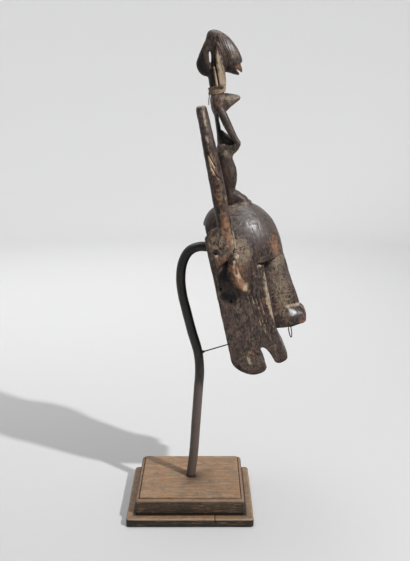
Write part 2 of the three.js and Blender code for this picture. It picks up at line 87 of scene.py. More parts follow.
# %% Smooth curves through points
def eased(pairs):
    """A value that runs smoothly through (position, value) pairs and stays level beyond them."""
    at, value = np.array(pairs, float).T
    slope = np.gradient(value, at)

    def curve(x):
        x = np.clip(x, at[0], at[-1])
        i = np.clip(np.searchsorted(at, x) - 1, 0, len(at) - 2)
        span = at[i + 1] - at[i]
        t = (x - at[i]) / span
        held = (2 * t**3 - 3 * t**2 + 1) * value[i] + (3 * t**2 - 2 * t**3) * value[i + 1]
        return held + span * ((t**3 - 2 * t**2 + t) * slope[i] + (t**3 - t**2) * slope[i + 1])

    return curve


def through(points, count, closed=False):
    """Points on a smooth curve through the given ones; extra columns are carried along."""
    points = np.array(points, float)
    if closed:
        points = np.vstack([points[-1], points, points[:2]])
    else:
        points = np.vstack([2 * points[0] - points[1], points, 2 * points[-1] - points[-2]])
    spans = len(points) - 3
    at = np.linspace(0, spans, count, endpoint=not closed)
    i = np.minimum(at.astype(int), spans - 1)
    t = (at - i)[:, None]
    p0, p1, p2, p3 = (points[i + k] for k in range(4))
    d0, d1, d2 = (np.linalg.norm((b - a)[:, :2], axis=1)[:, None] ** 0.5 + 1e-6
                  for a, b in ((p0, p1), (p1, p2), (p2, p3)))
    start = ((p1 - p0) / d0 - (p2 - p0) / (d0 + d1) + (p2 - p1) / d1) * d1
    end = ((p2 - p1) / d1 - (p3 - p1) / (d1 + d2) + (p3 - p2) / d2) * d1
    return ((2 * t**3 - 3 * t**2 + 1) * p1 + (t**3 - 2 * t**2 + t) * start
            + (3 * t**2 - 2 * t**3) * p2 + (t**3 - t**2) * end)


def smoothstep(low, high, x):
    """0 at `low`, 1 at `high`, with a smooth rise between. low may be the larger one."""
    t = np.clip((x - low) / (high - low), 0, 1)
    return t * t * (3 - 2 * t)


print("a quarter of the way along, a smooth rise stands at", smoothstep(0, 1, 0.25))

# %% Skins over rings of points
def loft(rings, looped=False):
    """Points and triangles of a skin over rings that have the same number of points.

    The skin is closed with a cap at each end or, if looped, by joining the last ring to the first.
    """
    rings = np.array(rings, float)
    count, size = rings.shape[:2]
    points = rings.reshape(-1, 3)
    i = np.arange(size)
    after = (i + 1) % size
    faces = []
    for ring in range(count if looped else count - 1):
        low, high = ring * size, (ring + 1) % count * size
        faces.append(np.stack([low + i, low + after, high + after], 1))
        faces.append(np.stack([low + i, high + after, high + i], 1))
    if not looped:
        bottom, last = count * size, (count - 1) * size
        points = np.vstack([points, rings[0].mean(0), rings[-1].mean(0)])
        faces.append(np.stack([np.full(size, bottom), after, i], 1))
        faces.append(np.stack([np.full(size, bottom + 1), last + i, last + after], 1))
    return points, np.vstack(faces)


def bar(stations, y=0.0, sides=36, steps=8):
    """An oval bar. A station is (u, w, half thickness, half width, shift in y)."""
    stations = [tuple(s) + (0,) * (5 - len(s)) for s in stations]
    path = through(stations, (len(stations) - 1) * steps + 1)
    along = np.gradient(path[:, :2], axis=0)
    along /= np.linalg.norm(along, axis=1)[:, None]
    angle = np.linspace(0, 2 * np.pi, sides, endpoint=False)
    rings = []
    for (u, w, thick, wide, shift), (du, dw) in zip(path, along):
        side, out = thick * np.cos(angle), wide * np.sin(angle)
        rings.append(np.stack([u + dw * side, y + shift + out, w - du * side], 1))
    return loft(rings)


def pillow(outline, y, half_width, fullness, count=72, levels=12):
    """A cushion-like body with the given outline in the side view, thin at its edge."""
    edge = through(outline, count, closed=True)
    centre = edge.mean(0)
    rings = []
    for level in range(-levels, levels + 1):
        rise = math.sin(level / levels * math.pi / 2 * 0.97)
        reach = (1 - abs(rise) ** fullness) ** (1 / fullness)
        side = centre + (edge - centre) * reach
        rings.append(np.insert(side, 1, y + half_width * rise, axis=1))
    return loft(rings)


def prism(outline, half_width):
    """A straight body with the given outline in the side view."""
    outline = np.array(outline, float)
    return loft([np.insert(outline, 1, y, axis=1) for y in (-half_width, half_width)])


print("a prism over a square has", len(prism([(0, 0), (1, 0), (1, 1), (0, 1)], 1)[1]), "triangles")

# %% [markdown]
# ## A block of voxels to carve in
# The real mask is cut from one log, so here it is cut from one block as well. The block is a signed
# distance on a grid of 1 mm voxels: negative inside the wood, positive outside, and kept up to 6 mm
# from the surface. Two bodies are joined by taking the smaller distance, and one is cut from another
# by taking the larger of the first and the negated second. A soft version of the same step leaves a
# small fillet, as a knife does where two carved forms meet. Booleans on meshes could join these bodies
# too, but would leave hard seams.

# %% The block and its joins
VOXEL = 1.0
REACH = 6.0
PAST_BLOCK = 150
BLOCK_LOW = np.array([-9, -84, 0])
BLOCK_HIGH = np.array([136, 84, 545])
block_shape = tuple(BLOCK_HIGH - BLOCK_LOW + 1)
grid_u, grid_y, grid_w = (np.arange(low, high + 1, dtype=np.float32)
                          for low, high in zip(BLOCK_LOW, BLOCK_HIGH))
grid_u, grid_y, grid_w = grid_u[:, None, None], grid_y[None, :, None], grid_w[None, None, :]


def solid(body):
    """The distance field of one closed skin, over the whole block."""
    points, faces = body
    grid = openvdb.FloatGrid.createLevelSetFromPolygons(
        points.astype(np.float32), triangles=faces.astype(np.uint32),
        transform=openvdb.createLinearTransform(VOXEL), halfWidth=REACH)
    field = np.empty(block_shape, np.float32)
    grid.copyToArray(field, ijk=tuple(int(v) for v in BLOCK_LOW))
    return field


def union(a, b, soft=0.0):
    """Both bodies as one, with a fillet of about that many millimetres."""
    lower = np.minimum(a, b)
    if soft:
        near = np.clip(soft - np.abs(a - b), 0, None)
        lower -= near * near / (4 * soft)
    return lower


def less(a, b, soft=0.0):
    """The first body without the second."""
    return -union(-a, b, soft)


def both_sides(field):
    """A body and its mirror image on the other side of the middle plane."""
    return np.minimum(field, field[:, ::-1, :])


def banded(field):
    """A distance that was worked out by a formula, held to the reach of the others."""
    return np.clip(field, -REACH, REACH).astype(np.float32)


def slab(outline, y, half_width, soft):
    """A flat board with the given outline in the side view and rounded edges."""
    return -union(-solid(prism(outline, PAST_BLOCK)), half_width - np.abs(grid_y - y), soft)


print("block of", block_shape, "voxels")

# %% [markdown]
# ## The face
# The face is a deep block with a flat back, side walls that draw in towards the cheeks, and a
# hollowed front on both sides of the nose. Its side view gives the jaw, the mouth slot that goes
# right through, and the upper lip. Level sections follow one rule with the height, so they are made
# by a function of w.

# %% Sections of the face
CHEEK_DEPTH = 79
CHEEK_HOLLOW = 5
SIDE_BOW = 2

wall_half_width = eased([(0, 26), (20, 34), (45, 46), (90, 58), (150, 64), (215, 67), (246, 60)])
ridge_half_width = eased([(0, 18), (20, 22), (50, 28), (90, 37), (150, 45), (210, 50), (246, 46)])
ridge_depth = eased([(28, 88), (60, 82), (80, CHEEK_DEPTH)])
cheek_hollow = eased([(50, 0), (80, CHEEK_HOLLOW), (190, CHEEK_HOLLOW + 2)])


def face_section(w, wall_steps=10, front_steps=12):
    """A level section: the side wall from the back rim to the cheek's ridge, then the front."""
    rim, ridge, depth = wall_half_width(w), ridge_half_width(w), ridge_depth(w)
    t = np.linspace(0, 1, wall_steps + 1)
    wall = np.stack([-4 + (depth + 1.5) * t, rim + (ridge - rim) * t + SIDE_BOW * np.sin(np.pi * t)], 1)
    t = np.linspace(0, 1, front_steps, endpoint=False)
    swell = 2 * np.sin(np.pi / 2 * t) * smoothstep(70, 50, w)
    hollow = cheek_hollow(w) * np.sin(np.pi * np.minimum(1, 1.25 * t))
    front = np.stack([depth + swell - hollow, (ridge - 2.5) * (1 - t)], 1)
    half = np.vstack([wall, front])
    near = np.stack([half[:, 0], -half[:, 1], np.full(len(half), w)], 1)
    return np.vstack([near, (near * (1, -1, 1))[::-1]])


def face_outline():
    """The side view of the face, from its back plane round the jaw and the lips to the brow."""
    jaw = [(-0.5, 44), (1.5, 34), (6.5, 26), (15, 17), (24, 11)]
    chin = [(24, 11), (32, 9.3), (41, 9.5), (49, 12.5), (52, 18)]
    slot = [(52, 18), (50.5, 27), (47, 39), (46.7, 49), (49.5, 54.5)]
    lip = [(49.5, 54.5), (53.5, 53.5), (58.5, 46), (63, 34.5), (66.5, 24)]
    lip_tip = [(66.5, 24), (73, 19), (81, 20), (87, 23), (89.5, 28)]
    lip_front = [(89.5, 28), (88, 38), (85, 54), (82, 70)]
    rounds = [through(points, 14)[:-1] for points in (jaw, chin, slot, lip, lip_tip, lip_front)]
    return np.vstack([[(0, 252)], *rounds, [(82, 70), (92, 76), (92, 240), (60, 252)]])


face = solid(loft([face_section(w) for w in np.linspace(4, 246, 90)]))
face = -union(-face, -solid(prism(face_outline(), 100)), 2.0)
print("face block, deepest", CHEEK_DEPTH, "mm")

# %% [markdown]
# ## Forehead and nose
# The forehead is a dome that hangs over the brow in front and runs into the walls at the sides, so
# only its front is undercut. The nose is a tall wedge, and its nostrils are one heavy block across
# its foot.

# %% The dome of the forehead
BROW_HEIGHT = 188
BROW_SLOPE = math.tan(math.radians(6))
CROWN_HEIGHT = 284
SKULL_CENTRE = 46
FOREHEAD_REACH = 68
SKULL_BACK_REACH = 49
TEMPLE_HALF_WIDTH = 60
TEMPLE_HEIGHT = 214


def dome_share(w, start):
    """How much of its reach the dome has left at a height, if it starts to close in at `start`."""
    up = np.clip((w - start) / (CROWN_HEIGHT - start), 0, 1)
    return (1 - up**2.25) ** (1 / 2.25)


def skull_ring(w, sides=120):
    """One level ring of the dome, squarer behind than in front."""
    front = FOREHEAD_REACH * dome_share(w, 200)
    back = SKULL_BACK_REACH * dome_share(w, 240)
    side = TEMPLE_HALF_WIDTH * dome_share(w, TEMPLE_HEIGHT) - 10 * smoothstep(TEMPLE_HEIGHT, 178, w)
    angle = np.linspace(0, 2 * np.pi, sides, endpoint=False)
    cos, sin = np.cos(angle), np.sin(angle)
    reach = np.where(cos > 0, front, back)
    fullness = np.where(cos > 0, 0.92, 0.7)
    return np.stack([SKULL_CENTRE + reach * np.sign(cos) * np.abs(cos) ** fullness,
                     side * np.sign(sin) * np.abs(sin) ** fullness, np.full(sides, w)], 1)


def skull():
    """The dome, cut away below the brow in front of the face."""
    rise = np.sin(np.linspace(0, np.pi / 2, 40))
    levels = np.concatenate([np.linspace(168, 200, 12), 204 + (CROWN_HEIGHT - 204.2) * rise])
    dome = solid(loft([skull_ring(w) for w in levels]))
    front, far = 73, 145
    under_brow = [(front, 120), (far, 120), (far, BROW_HEIGHT + BROW_SLOPE * (far - 70)),
                  (front, BROW_HEIGHT + BROW_SLOPE * (front - 70) - 2)]
    return less(dome, solid(prism(under_brow, 100)), 1.5)


def eye_notch():
    """A thin wedge cut under the brow, from the cheek's corner to the side of the nose."""
    outline = [(66.5, 190.2), (80, 185.0), (97, 184.5), (97, 190.5), (80, 188.8)]
    return np.maximum(solid(prism(outline, 70)), 19 - np.abs(grid_y))


head = less(union(face, skull(), 7.0), eye_notch(), 1.0)
print("brow at w", BROW_HEIGHT, "mm, crown at", CROWN_HEIGHT, "mm")

# %% The nose
NOSE_BRIDGE_HALF_WIDTH = 5
NOSE_BLOCK_HALF_WIDTH = 17
BLOCK_FALL_FROM = (104, 88)
BLOCK_FALL_FORWARD = 0.40
BLOCK_FALL_UPWARD = 0.50
BLOCK_FALL_MOST = 9
nose_ridge = eased([(72, 125), (106, 123.5), (152, 117.5), (192, 113.5)])


def nose_section(w):
    spread = 1.7 - 0.7 * (w - 80) / 116
    front, top, base = nose_ridge(w), NOSE_BRIDGE_HALF_WIDTH * spread, 8.5 * spread
    half = [(60, -base), (front - 5, -top), (front, -top + 3.5)]
    outline = np.array(half + [(u, -y) for u, y in reversed(half)])
    return np.insert(outline, 2, w, axis=1)


def nose():
    """The wedge with the block of the nostrils, whose side falls away towards its upper front."""
    wedge = solid(loft([nose_section(w) for w in np.linspace(80, 200, 40)]))
    block = [(70, 75), (83, 73), (100, 70.7), (112, 70.7), (124, 71.3), (128.5, 74.5), (130.5, 86),
             (129, 97), (125, 102.5), (102, 107), (82, 110), (70, 110)]
    forward = BLOCK_FALL_FORWARD * np.clip(grid_u - BLOCK_FALL_FROM[0], 0, None)
    upward = BLOCK_FALL_UPWARD * np.clip(grid_w - BLOCK_FALL_FROM[1], 0, None)
    block_y = NOSE_BLOCK_HALF_WIDTH - np.minimum(forward + upward, BLOCK_FALL_MOST)
    rounded = -union(-slab(block, 0, NOSE_BLOCK_HALF_WIDTH, 4.0), block_y - np.abs(grid_y), 4.0)
    return union(wedge, rounded, 2.0)


head = union(head, nose(), 1.5)
print("nose stands", nose_ridge(106) - CHEEK_DEPTH, "mm before the cheeks")

# %% [markdown]
# ## Temple plates, horns and ears
# Each temple carries a raised plate, a thick horn that grows out of it, and a crescent ear below its
# front corner. The sides are alike, so the near one is made and mirrored.

# %% Plates, horns and ears
PLATE_MIDDLE = 65
PLATE_HALF_THICKNESS = 7
PLATE_FALL = 0.2
PLATE_FALL_FROM = (22, 226)
HORN_OFFSET = 51
EAR_OFFSET = 69
EAR_SCOOP_OFFSET = 80


def temple_plate():
    """A raised plate with an arched rear corner. Its face slopes to its front and its top."""
    outline = [(0, 194), (6, 196), (35, 212), (40, 232), (41, 258), (26, 258.5), (14, 257), (6, 252.5),
               (1.5, 246), (0, 238)]
    fall = np.clip(grid_u - PLATE_FALL_FROM[0], 0, None) + np.clip(grid_w - PLATE_FALL_FROM[1], 0, None)
    face_y = PLATE_MIDDLE + PLATE_HALF_THICKNESS - PLATE_FALL * fall
    plate = slab(outline, -PLATE_MIDDLE, PLATE_HALF_THICKNESS, 2.0)
    return -union(-plate, grid_y + face_y, 3.0)


def horn():
    return solid(bar([
        (32, 222, 9, 18), (31, 244, 10, 16), (32.5, 268, 10.5, 14), (33.9, 300, 11.3, 13),
        (34.3, 335, 11, 12.5), (34.4, 372, 10, 11.5), (34.4, 405, 8.9, 10.2), (34.3, 429, 8.2, 9),
        (34.4, 434, 6.8, 7.6)], -HORN_OFFSET, sides=48))


def ear():
    """A crescent with a scooped face."""
    rim = bar([(42, 214, 4.5, 6), (35, 204, 7.5, 9), (31, 191, 9.2, 11), (33, 176, 9.4, 11),
               (40, 163, 7.5, 9), (46, 156, 4, 6)], -EAR_OFFSET)
    scoop = bar([(46, 208, 3, 4), (39.5, 197, 4, 6), (37.5, 186, 4, 6), (41, 174, 3.5, 5),
                 (47, 166, 3, 4)], -EAR_SCOOP_OFFSET)
    return less(solid(rim), solid(scoop), 3.0)


for part, soft in ((temple_plate(), 2.5), (horn(), 3.0), (ear(), 3.0)):
    head = union(head, both_sides(part), soft)
print("horns", 2 * HORN_OFFSET, "mm apart")

# %% [markdown]
# ## The hollow and the holes
# The wearer's face goes into the hollow behind. It is cut after everything on the outside is joined,
# so that the wall stays closed. Slits below the brow let the wearer see, and the round holes at the
# temples and behind the cheeks take the cords of a costume. Holes and slits are plain enough for a
# formula, so they need no skin.

# %% The hollow and the holes
WALL = 10
CAVITY_DEPTH = 66
CAVITY_TOP = 257
CAVITY_BOTTOM = 30
EYE_OFFSET = 24
EYE_HEIGHT = 178
EYE_HALF_WIDTH = 7
EYE_HALF_HEIGHT = 3
EYE_BACK = 44
TIE_HOLE = (12, 223, 4.0)
LOW_HOLE = (20, 144, 2.2)
HOLE_INNER_END = 30
cavity_depth = eased([(CAVITY_BOTTOM, 26), (60, 34), (84, CAVITY_DEPTH)])


def cavity_ring(w, steps=40):
    """A level section of the hollow, which closes in at its top and its bottom."""
    end = min(1, (w - CAVITY_BOTTOM + 8) / 30, (CAVITY_TOP - w + 6) / 24)
    half = (wall_half_width(w) - WALL) * math.sqrt(end)
    depth = 4 + cavity_depth(w) * (0.7 + 0.3 * math.sqrt(end))
    angle = np.linspace(-np.pi / 2, np.pi / 2, steps + 1)
    sin, cos = np.sin(angle), np.cos(angle)
    return np.stack([-4 + depth * np.abs(cos) ** 0.6, half * np.sign(sin) * np.abs(sin) ** 0.8,
                     np.full(steps + 1, w)], 1)


def round_hole(u, w, radius):
    """A hole straight through one side wall."""
    across = np.hypot(grid_u - u, grid_w - w) - radius
    return banded(np.maximum(across, grid_y + HOLE_INNER_END))


def eye_slit():
    y = np.abs(grid_y + EYE_OFFSET) - EYE_HALF_WIDTH
    w = np.abs(grid_w - EYE_HEIGHT) - EYE_HALF_HEIGHT
    return banded(np.maximum(np.maximum(y, w), EYE_BACK - grid_u))


cavity = solid(loft([cavity_ring(w) for w in np.linspace(CAVITY_BOTTOM, CAVITY_TOP, 80)]))
head = less(head, cavity, 1.5)
for cutter in (round_hole(*TIE_HOLE), round_hole(*LOW_HOLE), eye_slit()):
    head = less(head, both_sides(cutter), 1.0)
print("wall about", WALL, "mm")

# %% [markdown]
# ## The standing figure
# A figure stands on the crown with its hands on its hips. Its hair is dressed in a crest, with a bun
# behind and long side locks. Limbs are oval bars along a curved line. The breasts, the belly, the
# feet and the head are cushion-like bodies with a drawn side view, and the locks are flat bands. Soft
# joins give the fillets of one carving.

# %% Legs, arms and trunk
LEG_OFFSET = 12
ARM_OFFSET = 21
BREAST_OFFSET = 12


def legs():
    """Both legs, each with a foot."""
    limb = solid(bar([(51, 281, 9, 7), (51.5, 303, 8.6, 7.5), (53.5, 318, 12, 9), (54.5, 331, 13.3, 9.5),
                      (53, 348, 12.7, 10), (54, 362, 12.5, 11)], -LEG_OFFSET))
    foot = solid(pillow([(44, 281), (45, 294), (55, 299), (62, 298), (69, 291), (75.5, 284), (76, 279),
                         (60, 276)], -LEG_OFFSET, 8, 2.4))
    return both_sides(union(limb, foot, 3.0))


def arms():
    """Both arms, bent at the elbow."""
    upper = solid(bar([(58.5, 437, 5, 5, 6), (63.5, 416, 6.2, 5.8, 1), (68.5, 396, 6.2, 5.8),
                       (73, 380, 5.2, 5.5), (78, 368, 4.6, 5)], -ARM_OFFSET))
    lower = solid(bar([(79, 370, 3.8, 5), (72, 364, 6, 5.5, 1), (62, 360, 8, 6, 4)], -ARM_OFFSET))
    return both_sides(union(upper, lower, 2.5))


def torso():
    trunk = solid(bar([(56, 362, 12, 17), (55, 374, 7.5, 13), (53.2, 388, 4.2, 12), (53.6, 400, 3.5, 12),
                       (54.1, 412, 3.3, 12.5), (57.5, 425, 6.8, 16), (61, 438, 10.5, 15), (62, 444, 9.5, 9)]))
    hip = solid(pillow([(43.5, 361), (46, 371), (53, 374), (64, 371.5), (71, 366), (68, 353),
                        (55, 346), (45, 350)], 0, 22, 3))
    belly = solid(pillow([(50, 364), (50, 387), (56.5, 393), (64, 386), (71, 379), (77, 372), (72, 362)],
                         0, 15, 2.6))
    shoulders = solid(pillow([(51, 421), (50, 434), (54, 445), (67, 446), (71.5, 440), (70, 428),
                              (61, 417)], 0, 24, 3))
    return union(union(union(trunk, hip, 2.0), belly, 2.0), shoulders, 5.0)


def breasts():
    return both_sides(solid(pillow([
        (62, 444), (72, 445.5), (84, 442), (94, 437), (95.5, 433), (86, 427.5), (77, 423), (68, 418),
        (60, 424)], -BREAST_OFFSET, 9, 1.5)))


pad = solid(pillow([(41, 274), (43, 282), (58, 284), (73, 282.5), (81, 277), (60, 268)], 0, 24, 3))
figure = pad
for part, soft in ((legs(), 1.5), (torso(), 2.5), (arms(), 3.0), (breasts(), 5.0)):
    figure = union(figure, part, soft)
print("figure's legs, trunk and arms joined")

# %% Neck, hair and head
STRING_CENTRE = 62.8
LOCK_OFFSET = 13.5
HEAD_HALF_WIDTH = 17


def neck():
    """The neck, with a broad lock and a thin strand of hair on each side of it."""
    column = solid(bar([(62, 436, 11, 12), (STRING_CENTRE, 444, 10.1, 10.1),
                        (STRING_CENTRE, 461, 10.1, 10.1), (65, 470, 12, 11.5), (68, 490, 12, 11.5)]))
    band = slab([(67.2, 455), (67.4, 461), (68.4, 485), (70.5, 502), (74, 513), (76, 518), (78.7, 515),
                 (80.2, 506), (79.8, 489), (79.9, 473), (77.5, 455)], -LOCK_OFFSET, 4.4, 1.2)
    strand = slab([(61.9, 456), (62.9, 470), (63.2, 484), (64.9, 487), (66.5, 484), (66.1, 470),
                   (65.7, 456)], -LOCK_OFFSET, 3.4, 0.8)
    return union(column, both_sides(np.minimum(band, strand)), 1.0)


def figure_head():
    """The crested head with its bun, the slit between them, the mouth and the chips before it."""
    wedge = solid(pillow([
        (64, 533), (70, 538), (79, 537), (90, 529), (98, 519), (104, 507), (107, 497), (108.5, 486),
        (106, 479), (105.5, 471), (101, 466), (92, 469), (82, 474), (68, 476), (60, 500)],
        0, HEAD_HALF_WIDTH, 2.2, count=110))
    bun = solid(pillow([
        (70, 534), (66, 532), (60, 525), (52.5, 515.5), (45.5, 505), (41, 497.5), (40, 488.5),
        (43.5, 480), (50.5, 474.5), (60, 473), (70, 490), (74, 515)], 0, 13, 2.2, count=110))
    slit = slab([(60.2, 493.5), (61.2, 491.6), (62.3, 493), (64.2, 500.5), (64.6, 506), (64.2, 509.5),
                 (63, 509), (61.4, 505), (60.4, 499)], 0, 30, 0.5)
    mouth = solid(prism([(103.5, 462), (97, 475), (98.2, 475.6), (105.5, 467)], 40))
    chips = solid(prism([(112, 486), (104.6, 481.8), (112, 481)], 40))
    lower_chips = solid(prism([(112, 478), (104.8, 474.6), (112, 473)], 40))
    crested = union(wedge, bun, 2.0)
    for cutter in (slit, mouth, chips, lower_chips):
        crested = less(crested, cutter, 0.5)
    return crested


figure = union(figure, neck(), 1.5)
figure = union(figure, figure_head(), 2.0)
carving = union(head, figure, 1.5)
print("the carving fills", round((carving < 0).sum() * VOXEL**3 / 1e6, 2), "litres")

# %% [markdown]
# ## From the block to a mesh
# The surface where the distance is zero becomes a mesh, whose faces already point outwards. The rod
# enters the hollow and is bedded in the wood behind the forehead, and the ring hangs in a bore through
# the nose. Both seats are cut last.

# %% Seats for the rod and the ring, then the mesh
MASK_TILT = math.radians(12)
MASK_ORIGIN = np.array([74.2, 0, 211.4])
ROD_RADIUS = 7.6
ROD_END = [(62, 424.5), (101, 421.5)]
RING_CENTRE = np.array([100.6, 0, 62])
RING_RADIUS = 11
RING_WIRE = 0.9
RING_LEAN = math.radians(6)
RING_TWIST = math.radians(7)
RING_AXIS = np.array([math.cos(RING_LEAN) * math.cos(RING_TWIST),
                      math.cos(RING_LEAN) * math.sin(RING_TWIST), -math.sin(RING_LEAN)])
CLEARANCE = 0.3


def to_mask(points):
    """Millimetres of the whole object to the mask's own frame."""
    x, y, z = (np.array(points, float) - MASK_ORIGIN).T
    cos, sin = math.cos(MASK_TILT), math.sin(MASK_TILT)
    return np.stack([x * cos + z * sin, y, z * cos - x * sin], 1)


def to_object(points):
    """The mask's own frame to millimetres of the whole object."""
    u, y, w = np.array(points, float).T
    cos, sin = math.cos(MASK_TILT), math.sin(MASK_TILT)
    return np.stack([u * cos - w * sin, y, u * sin + w * cos], 1) + MASK_ORIGIN


def rod_seat():
    """A bore for the end of the rod, a little wider than the rod is."""
    (u0, _, w0), (u1, _, w1) = to_mask([(x, 0, z) for x, z in ROD_END])
    run, rise = u1 - u0, w1 - w0
    along = ((grid_u - u0) * run + (grid_w - w0) * rise) / (run * run + rise * rise)
    across = ((grid_w - w0) * run - (grid_u - u0) * rise) / math.hypot(run, rise)
    beyond = np.maximum(along - 1, 0 - along) * math.hypot(run, rise)
    return np.maximum(np.sqrt(across**2 + grid_y**2) - ROD_RADIUS - CLEARANCE, beyond)


def ring_bore():
    """A round channel that the ring lies in, a little thicker than its wire."""
    u, y, w = grid_u - RING_CENTRE[0], grid_y - RING_CENTRE[1], grid_w - RING_CENTRE[2]
    axis = u * RING_AXIS[0] + y * RING_AXIS[1] + w * RING_AXIS[2]
    flat = np.sqrt(np.maximum(u * u + y * y + w * w - axis * axis, 0)) - RING_RADIUS
    return np.sqrt(flat * flat + axis * axis) - RING_WIRE - CLEARANCE


def mesh_of(field):
    """The zero surface of a field: its points and its faces of four corners."""
    grid = openvdb.FloatGrid(REACH)
    grid.transform = openvdb.createLinearTransform(VOXEL)
    grid.copyFromArray(field, ijk=tuple(int(v) for v in BLOCK_LOW))
    points, _, quads = grid.convertToPolygons(0.0, 0.0)
    return points.astype(float), quads.astype(int)


for seat in (rod_seat(), ring_bore()):
    carving = less(carving, banded(seat))
points, quads = mesh_of(carving)
print(len(points), "points and", len(quads), "quads")

# %% [markdown]
# ## Knife work, grain and wear
# A carved surface is never even. Blades leave shallow scoops that meet in soft ridges, and the grain
# opens in fine checks. These are moves of the mesh points along their normals, because at this scale
# they catch the light as shape. Sculpting by hand would do the same, but rules with a fixed seed give
# the same surface each time.

# %% Random values in space
def scrambled(cells, seed):
    """A repeatable random number from 0 to 1 for each whole-number cell."""
    x, y, z = (cells + 4096).astype(np.uint64).T
    mixed = (x * np.uint64(73856093)) ^ (y * np.uint64(19349663)) ^ (z * np.uint64(83492791))
    mixed = (mixed + np.uint64(seed * 2654435761 + 12345)) & np.uint64(0xFFFFFFFF)
    for shift, factor in ((16, 0x45D9F3B), (15, 0x2C1B3C6D), (16, 0x297A2D39)):
        mixed = ((mixed ^ (mixed >> np.uint64(shift))) * np.uint64(factor)) & np.uint64(0xFFFFFFFF)
    return mixed.astype(float) / 0xFFFFFFFF


def noise(points, size, seed, octaves=1):
    """Smooth random values, mostly from -1 to 1, that change over `size` millimetres."""
    total = np.zeros(len(points))
    for octave in range(octaves):
        place = points * (2**octave / np.array(size, float)) + 31.7 * octave
        cell = np.floor(place)
        t = place - cell
        t = t * t * t * (t * (6 * t - 15) + 10)
        for corner in np.ndindex(2, 2, 2):
            weight = np.prod(np.where(corner, t, 1 - t), axis=1)
            total += weight * (2 * scrambled(cell + corner, seed + octave) - 1) * 0.6**octave
    return total


def scoops(points, size, seed):
    """0 on the ridges between the scoops of a blade, up to 1 in the middle of each."""
    place = points / np.array(size, float)
    cell = np.floor(place)
    nearest = np.full(len(points), 9.0)
    for step in np.ndindex(3, 3, 3):
        other = cell + np.array(step) - 1
        spot = np.stack([scrambled(other, seed + k) for k in range(3)], 1)
        nearest = np.minimum(nearest, ((other + spot - place) ** 2).sum(1))
    return np.clip(1 - nearest / 0.5, 0, 1)


print("noise along a line:", noise(np.linspace((0, 0, 0), (20, 0, 0), 5), 10, seed=1).round(2))

# %% Normals, smoothing and lines on a mesh
def edges_of(faces):
    """Each edge of a closed mesh once, as a pair of point numbers."""
    pairs = np.vstack([faces[:, [k, k - 1]] for k in reversed(range(faces.shape[1]))])
    return pairs[pairs[:, 0] < pairs[:, 1]]


def summed(index, values, count):
    """The values added up by the point that each belongs to."""
    return np.stack([np.bincount(index, column, count) for column in values.T], 1)


def normals_of(points, faces):
    """The direction outwards at each point, as the mean of its faces of four corners."""
    across = points[faces[:, 2]] - points[faces[:, 0]]
    along = points[faces[:, -1]] - points[faces[:, 1]]
    face_normals = np.cross(across, along)
    total = sum(summed(faces[:, k], face_normals, len(points)) for k in range(faces.shape[1]))
    return total / (np.linalg.norm(total, axis=1)[:, None] + 1e-12)


def smoothed(points, edges, rounds, amount=0.5):
    """The points drawn towards the mean of their neighbours; amount may differ by point."""
    count = len(points)
    degree = np.bincount(edges.ravel(), minlength=count)
    amount = np.broadcast_to(np.asarray(amount, float), count)[:, None]
    for _ in range(rounds):
        total = summed(edges[:, 0], points[edges[:, 1]], count)
        total += summed(edges[:, 1], points[edges[:, 0]], count)
        points = points + amount * (total / np.maximum(degree, 1)[:, None] - points)
    return points


def line_cut(points, path, width):
    """1 along a line drawn in the side view, fading to 0 over half its width. path holds (u, w)."""
    flat = points[:, (0, 2)]
    nearest = np.full(len(flat), 1e9)
    for start, end in zip(path[:-1], path[1:]):
        start, run = np.array(start, float), np.array(end, float) - start
        t = np.clip(((flat - start) @ run) / (run @ run), 0, 1)
        nearest = np.minimum(nearest, np.linalg.norm(flat - start - t[:, None] * run, axis=1))
    return smoothstep(width / 2, 0, nearest)


def patch(points, u, w, reach_u, reach_w):
    """1 in the middle of an oval in the side view, fading to 0 at its edge."""
    return smoothstep(1, 0.3, np.hypot((points[:, 0] - u) / reach_u, (points[:, 2] - w) / reach_w))


edges = edges_of(quads)
print(len(edges), "edges between", len(points), "points")

# %% Where each point lies
CHEEK_ROUNDS = 30
CAVITY_LIP = 262
FIGURE_FOOT = (282, 292)

points = smoothed(points, edges, 2)
cheek_ridge = patch(points, 80, 125, 11, 72) * (points[:, 0] > 68)
points = smoothed(points, edges, CHEEK_ROUNDS, 0.6 * cheek_ridge)
normals = normals_of(points, quads)

voxel_of = np.clip(np.round(points).astype(int) - BLOCK_LOW, 0, np.array(block_shape) - 1)
from_cavity = np.abs(cavity[tuple(voxel_of.T)])
inside = smoothstep(2.5, 0.5, from_cavity) * (points[:, 2] < CAVITY_LIP)
outside = 1 - inside
on_figure = smoothstep(*FIGURE_FOOT, points[:, 2]) * (np.abs(points[:, 1]) < 33)
near_side = smoothstep(-4, -9, points[:, 1])
on_dome = patch(points, 78, 244, 44, 46)
on_ear = smoothstep(-71, -74, -np.abs(points[:, 1])) * (points[:, 2] < 217)
on_cheek = patch(points, 62, 150, 18, 75) * outside
print(round(100 * inside.mean()), "% of the points lie in the hollow")

# %% The surface as the knife left it
# How deep or how high each kind of mark is, in millimetres
OUTER_SCOOP = 0.42
FIGURE_SCOOP = 0.2
GOUGE_MARK = 1.1
UNEVENNESS = 0.4
GRAIN = 0.07
EAR_UNEVENNESS = 1.1
CHEEK_GRAIN = 0.3
PIT = 1.6
CHECK = 0.35

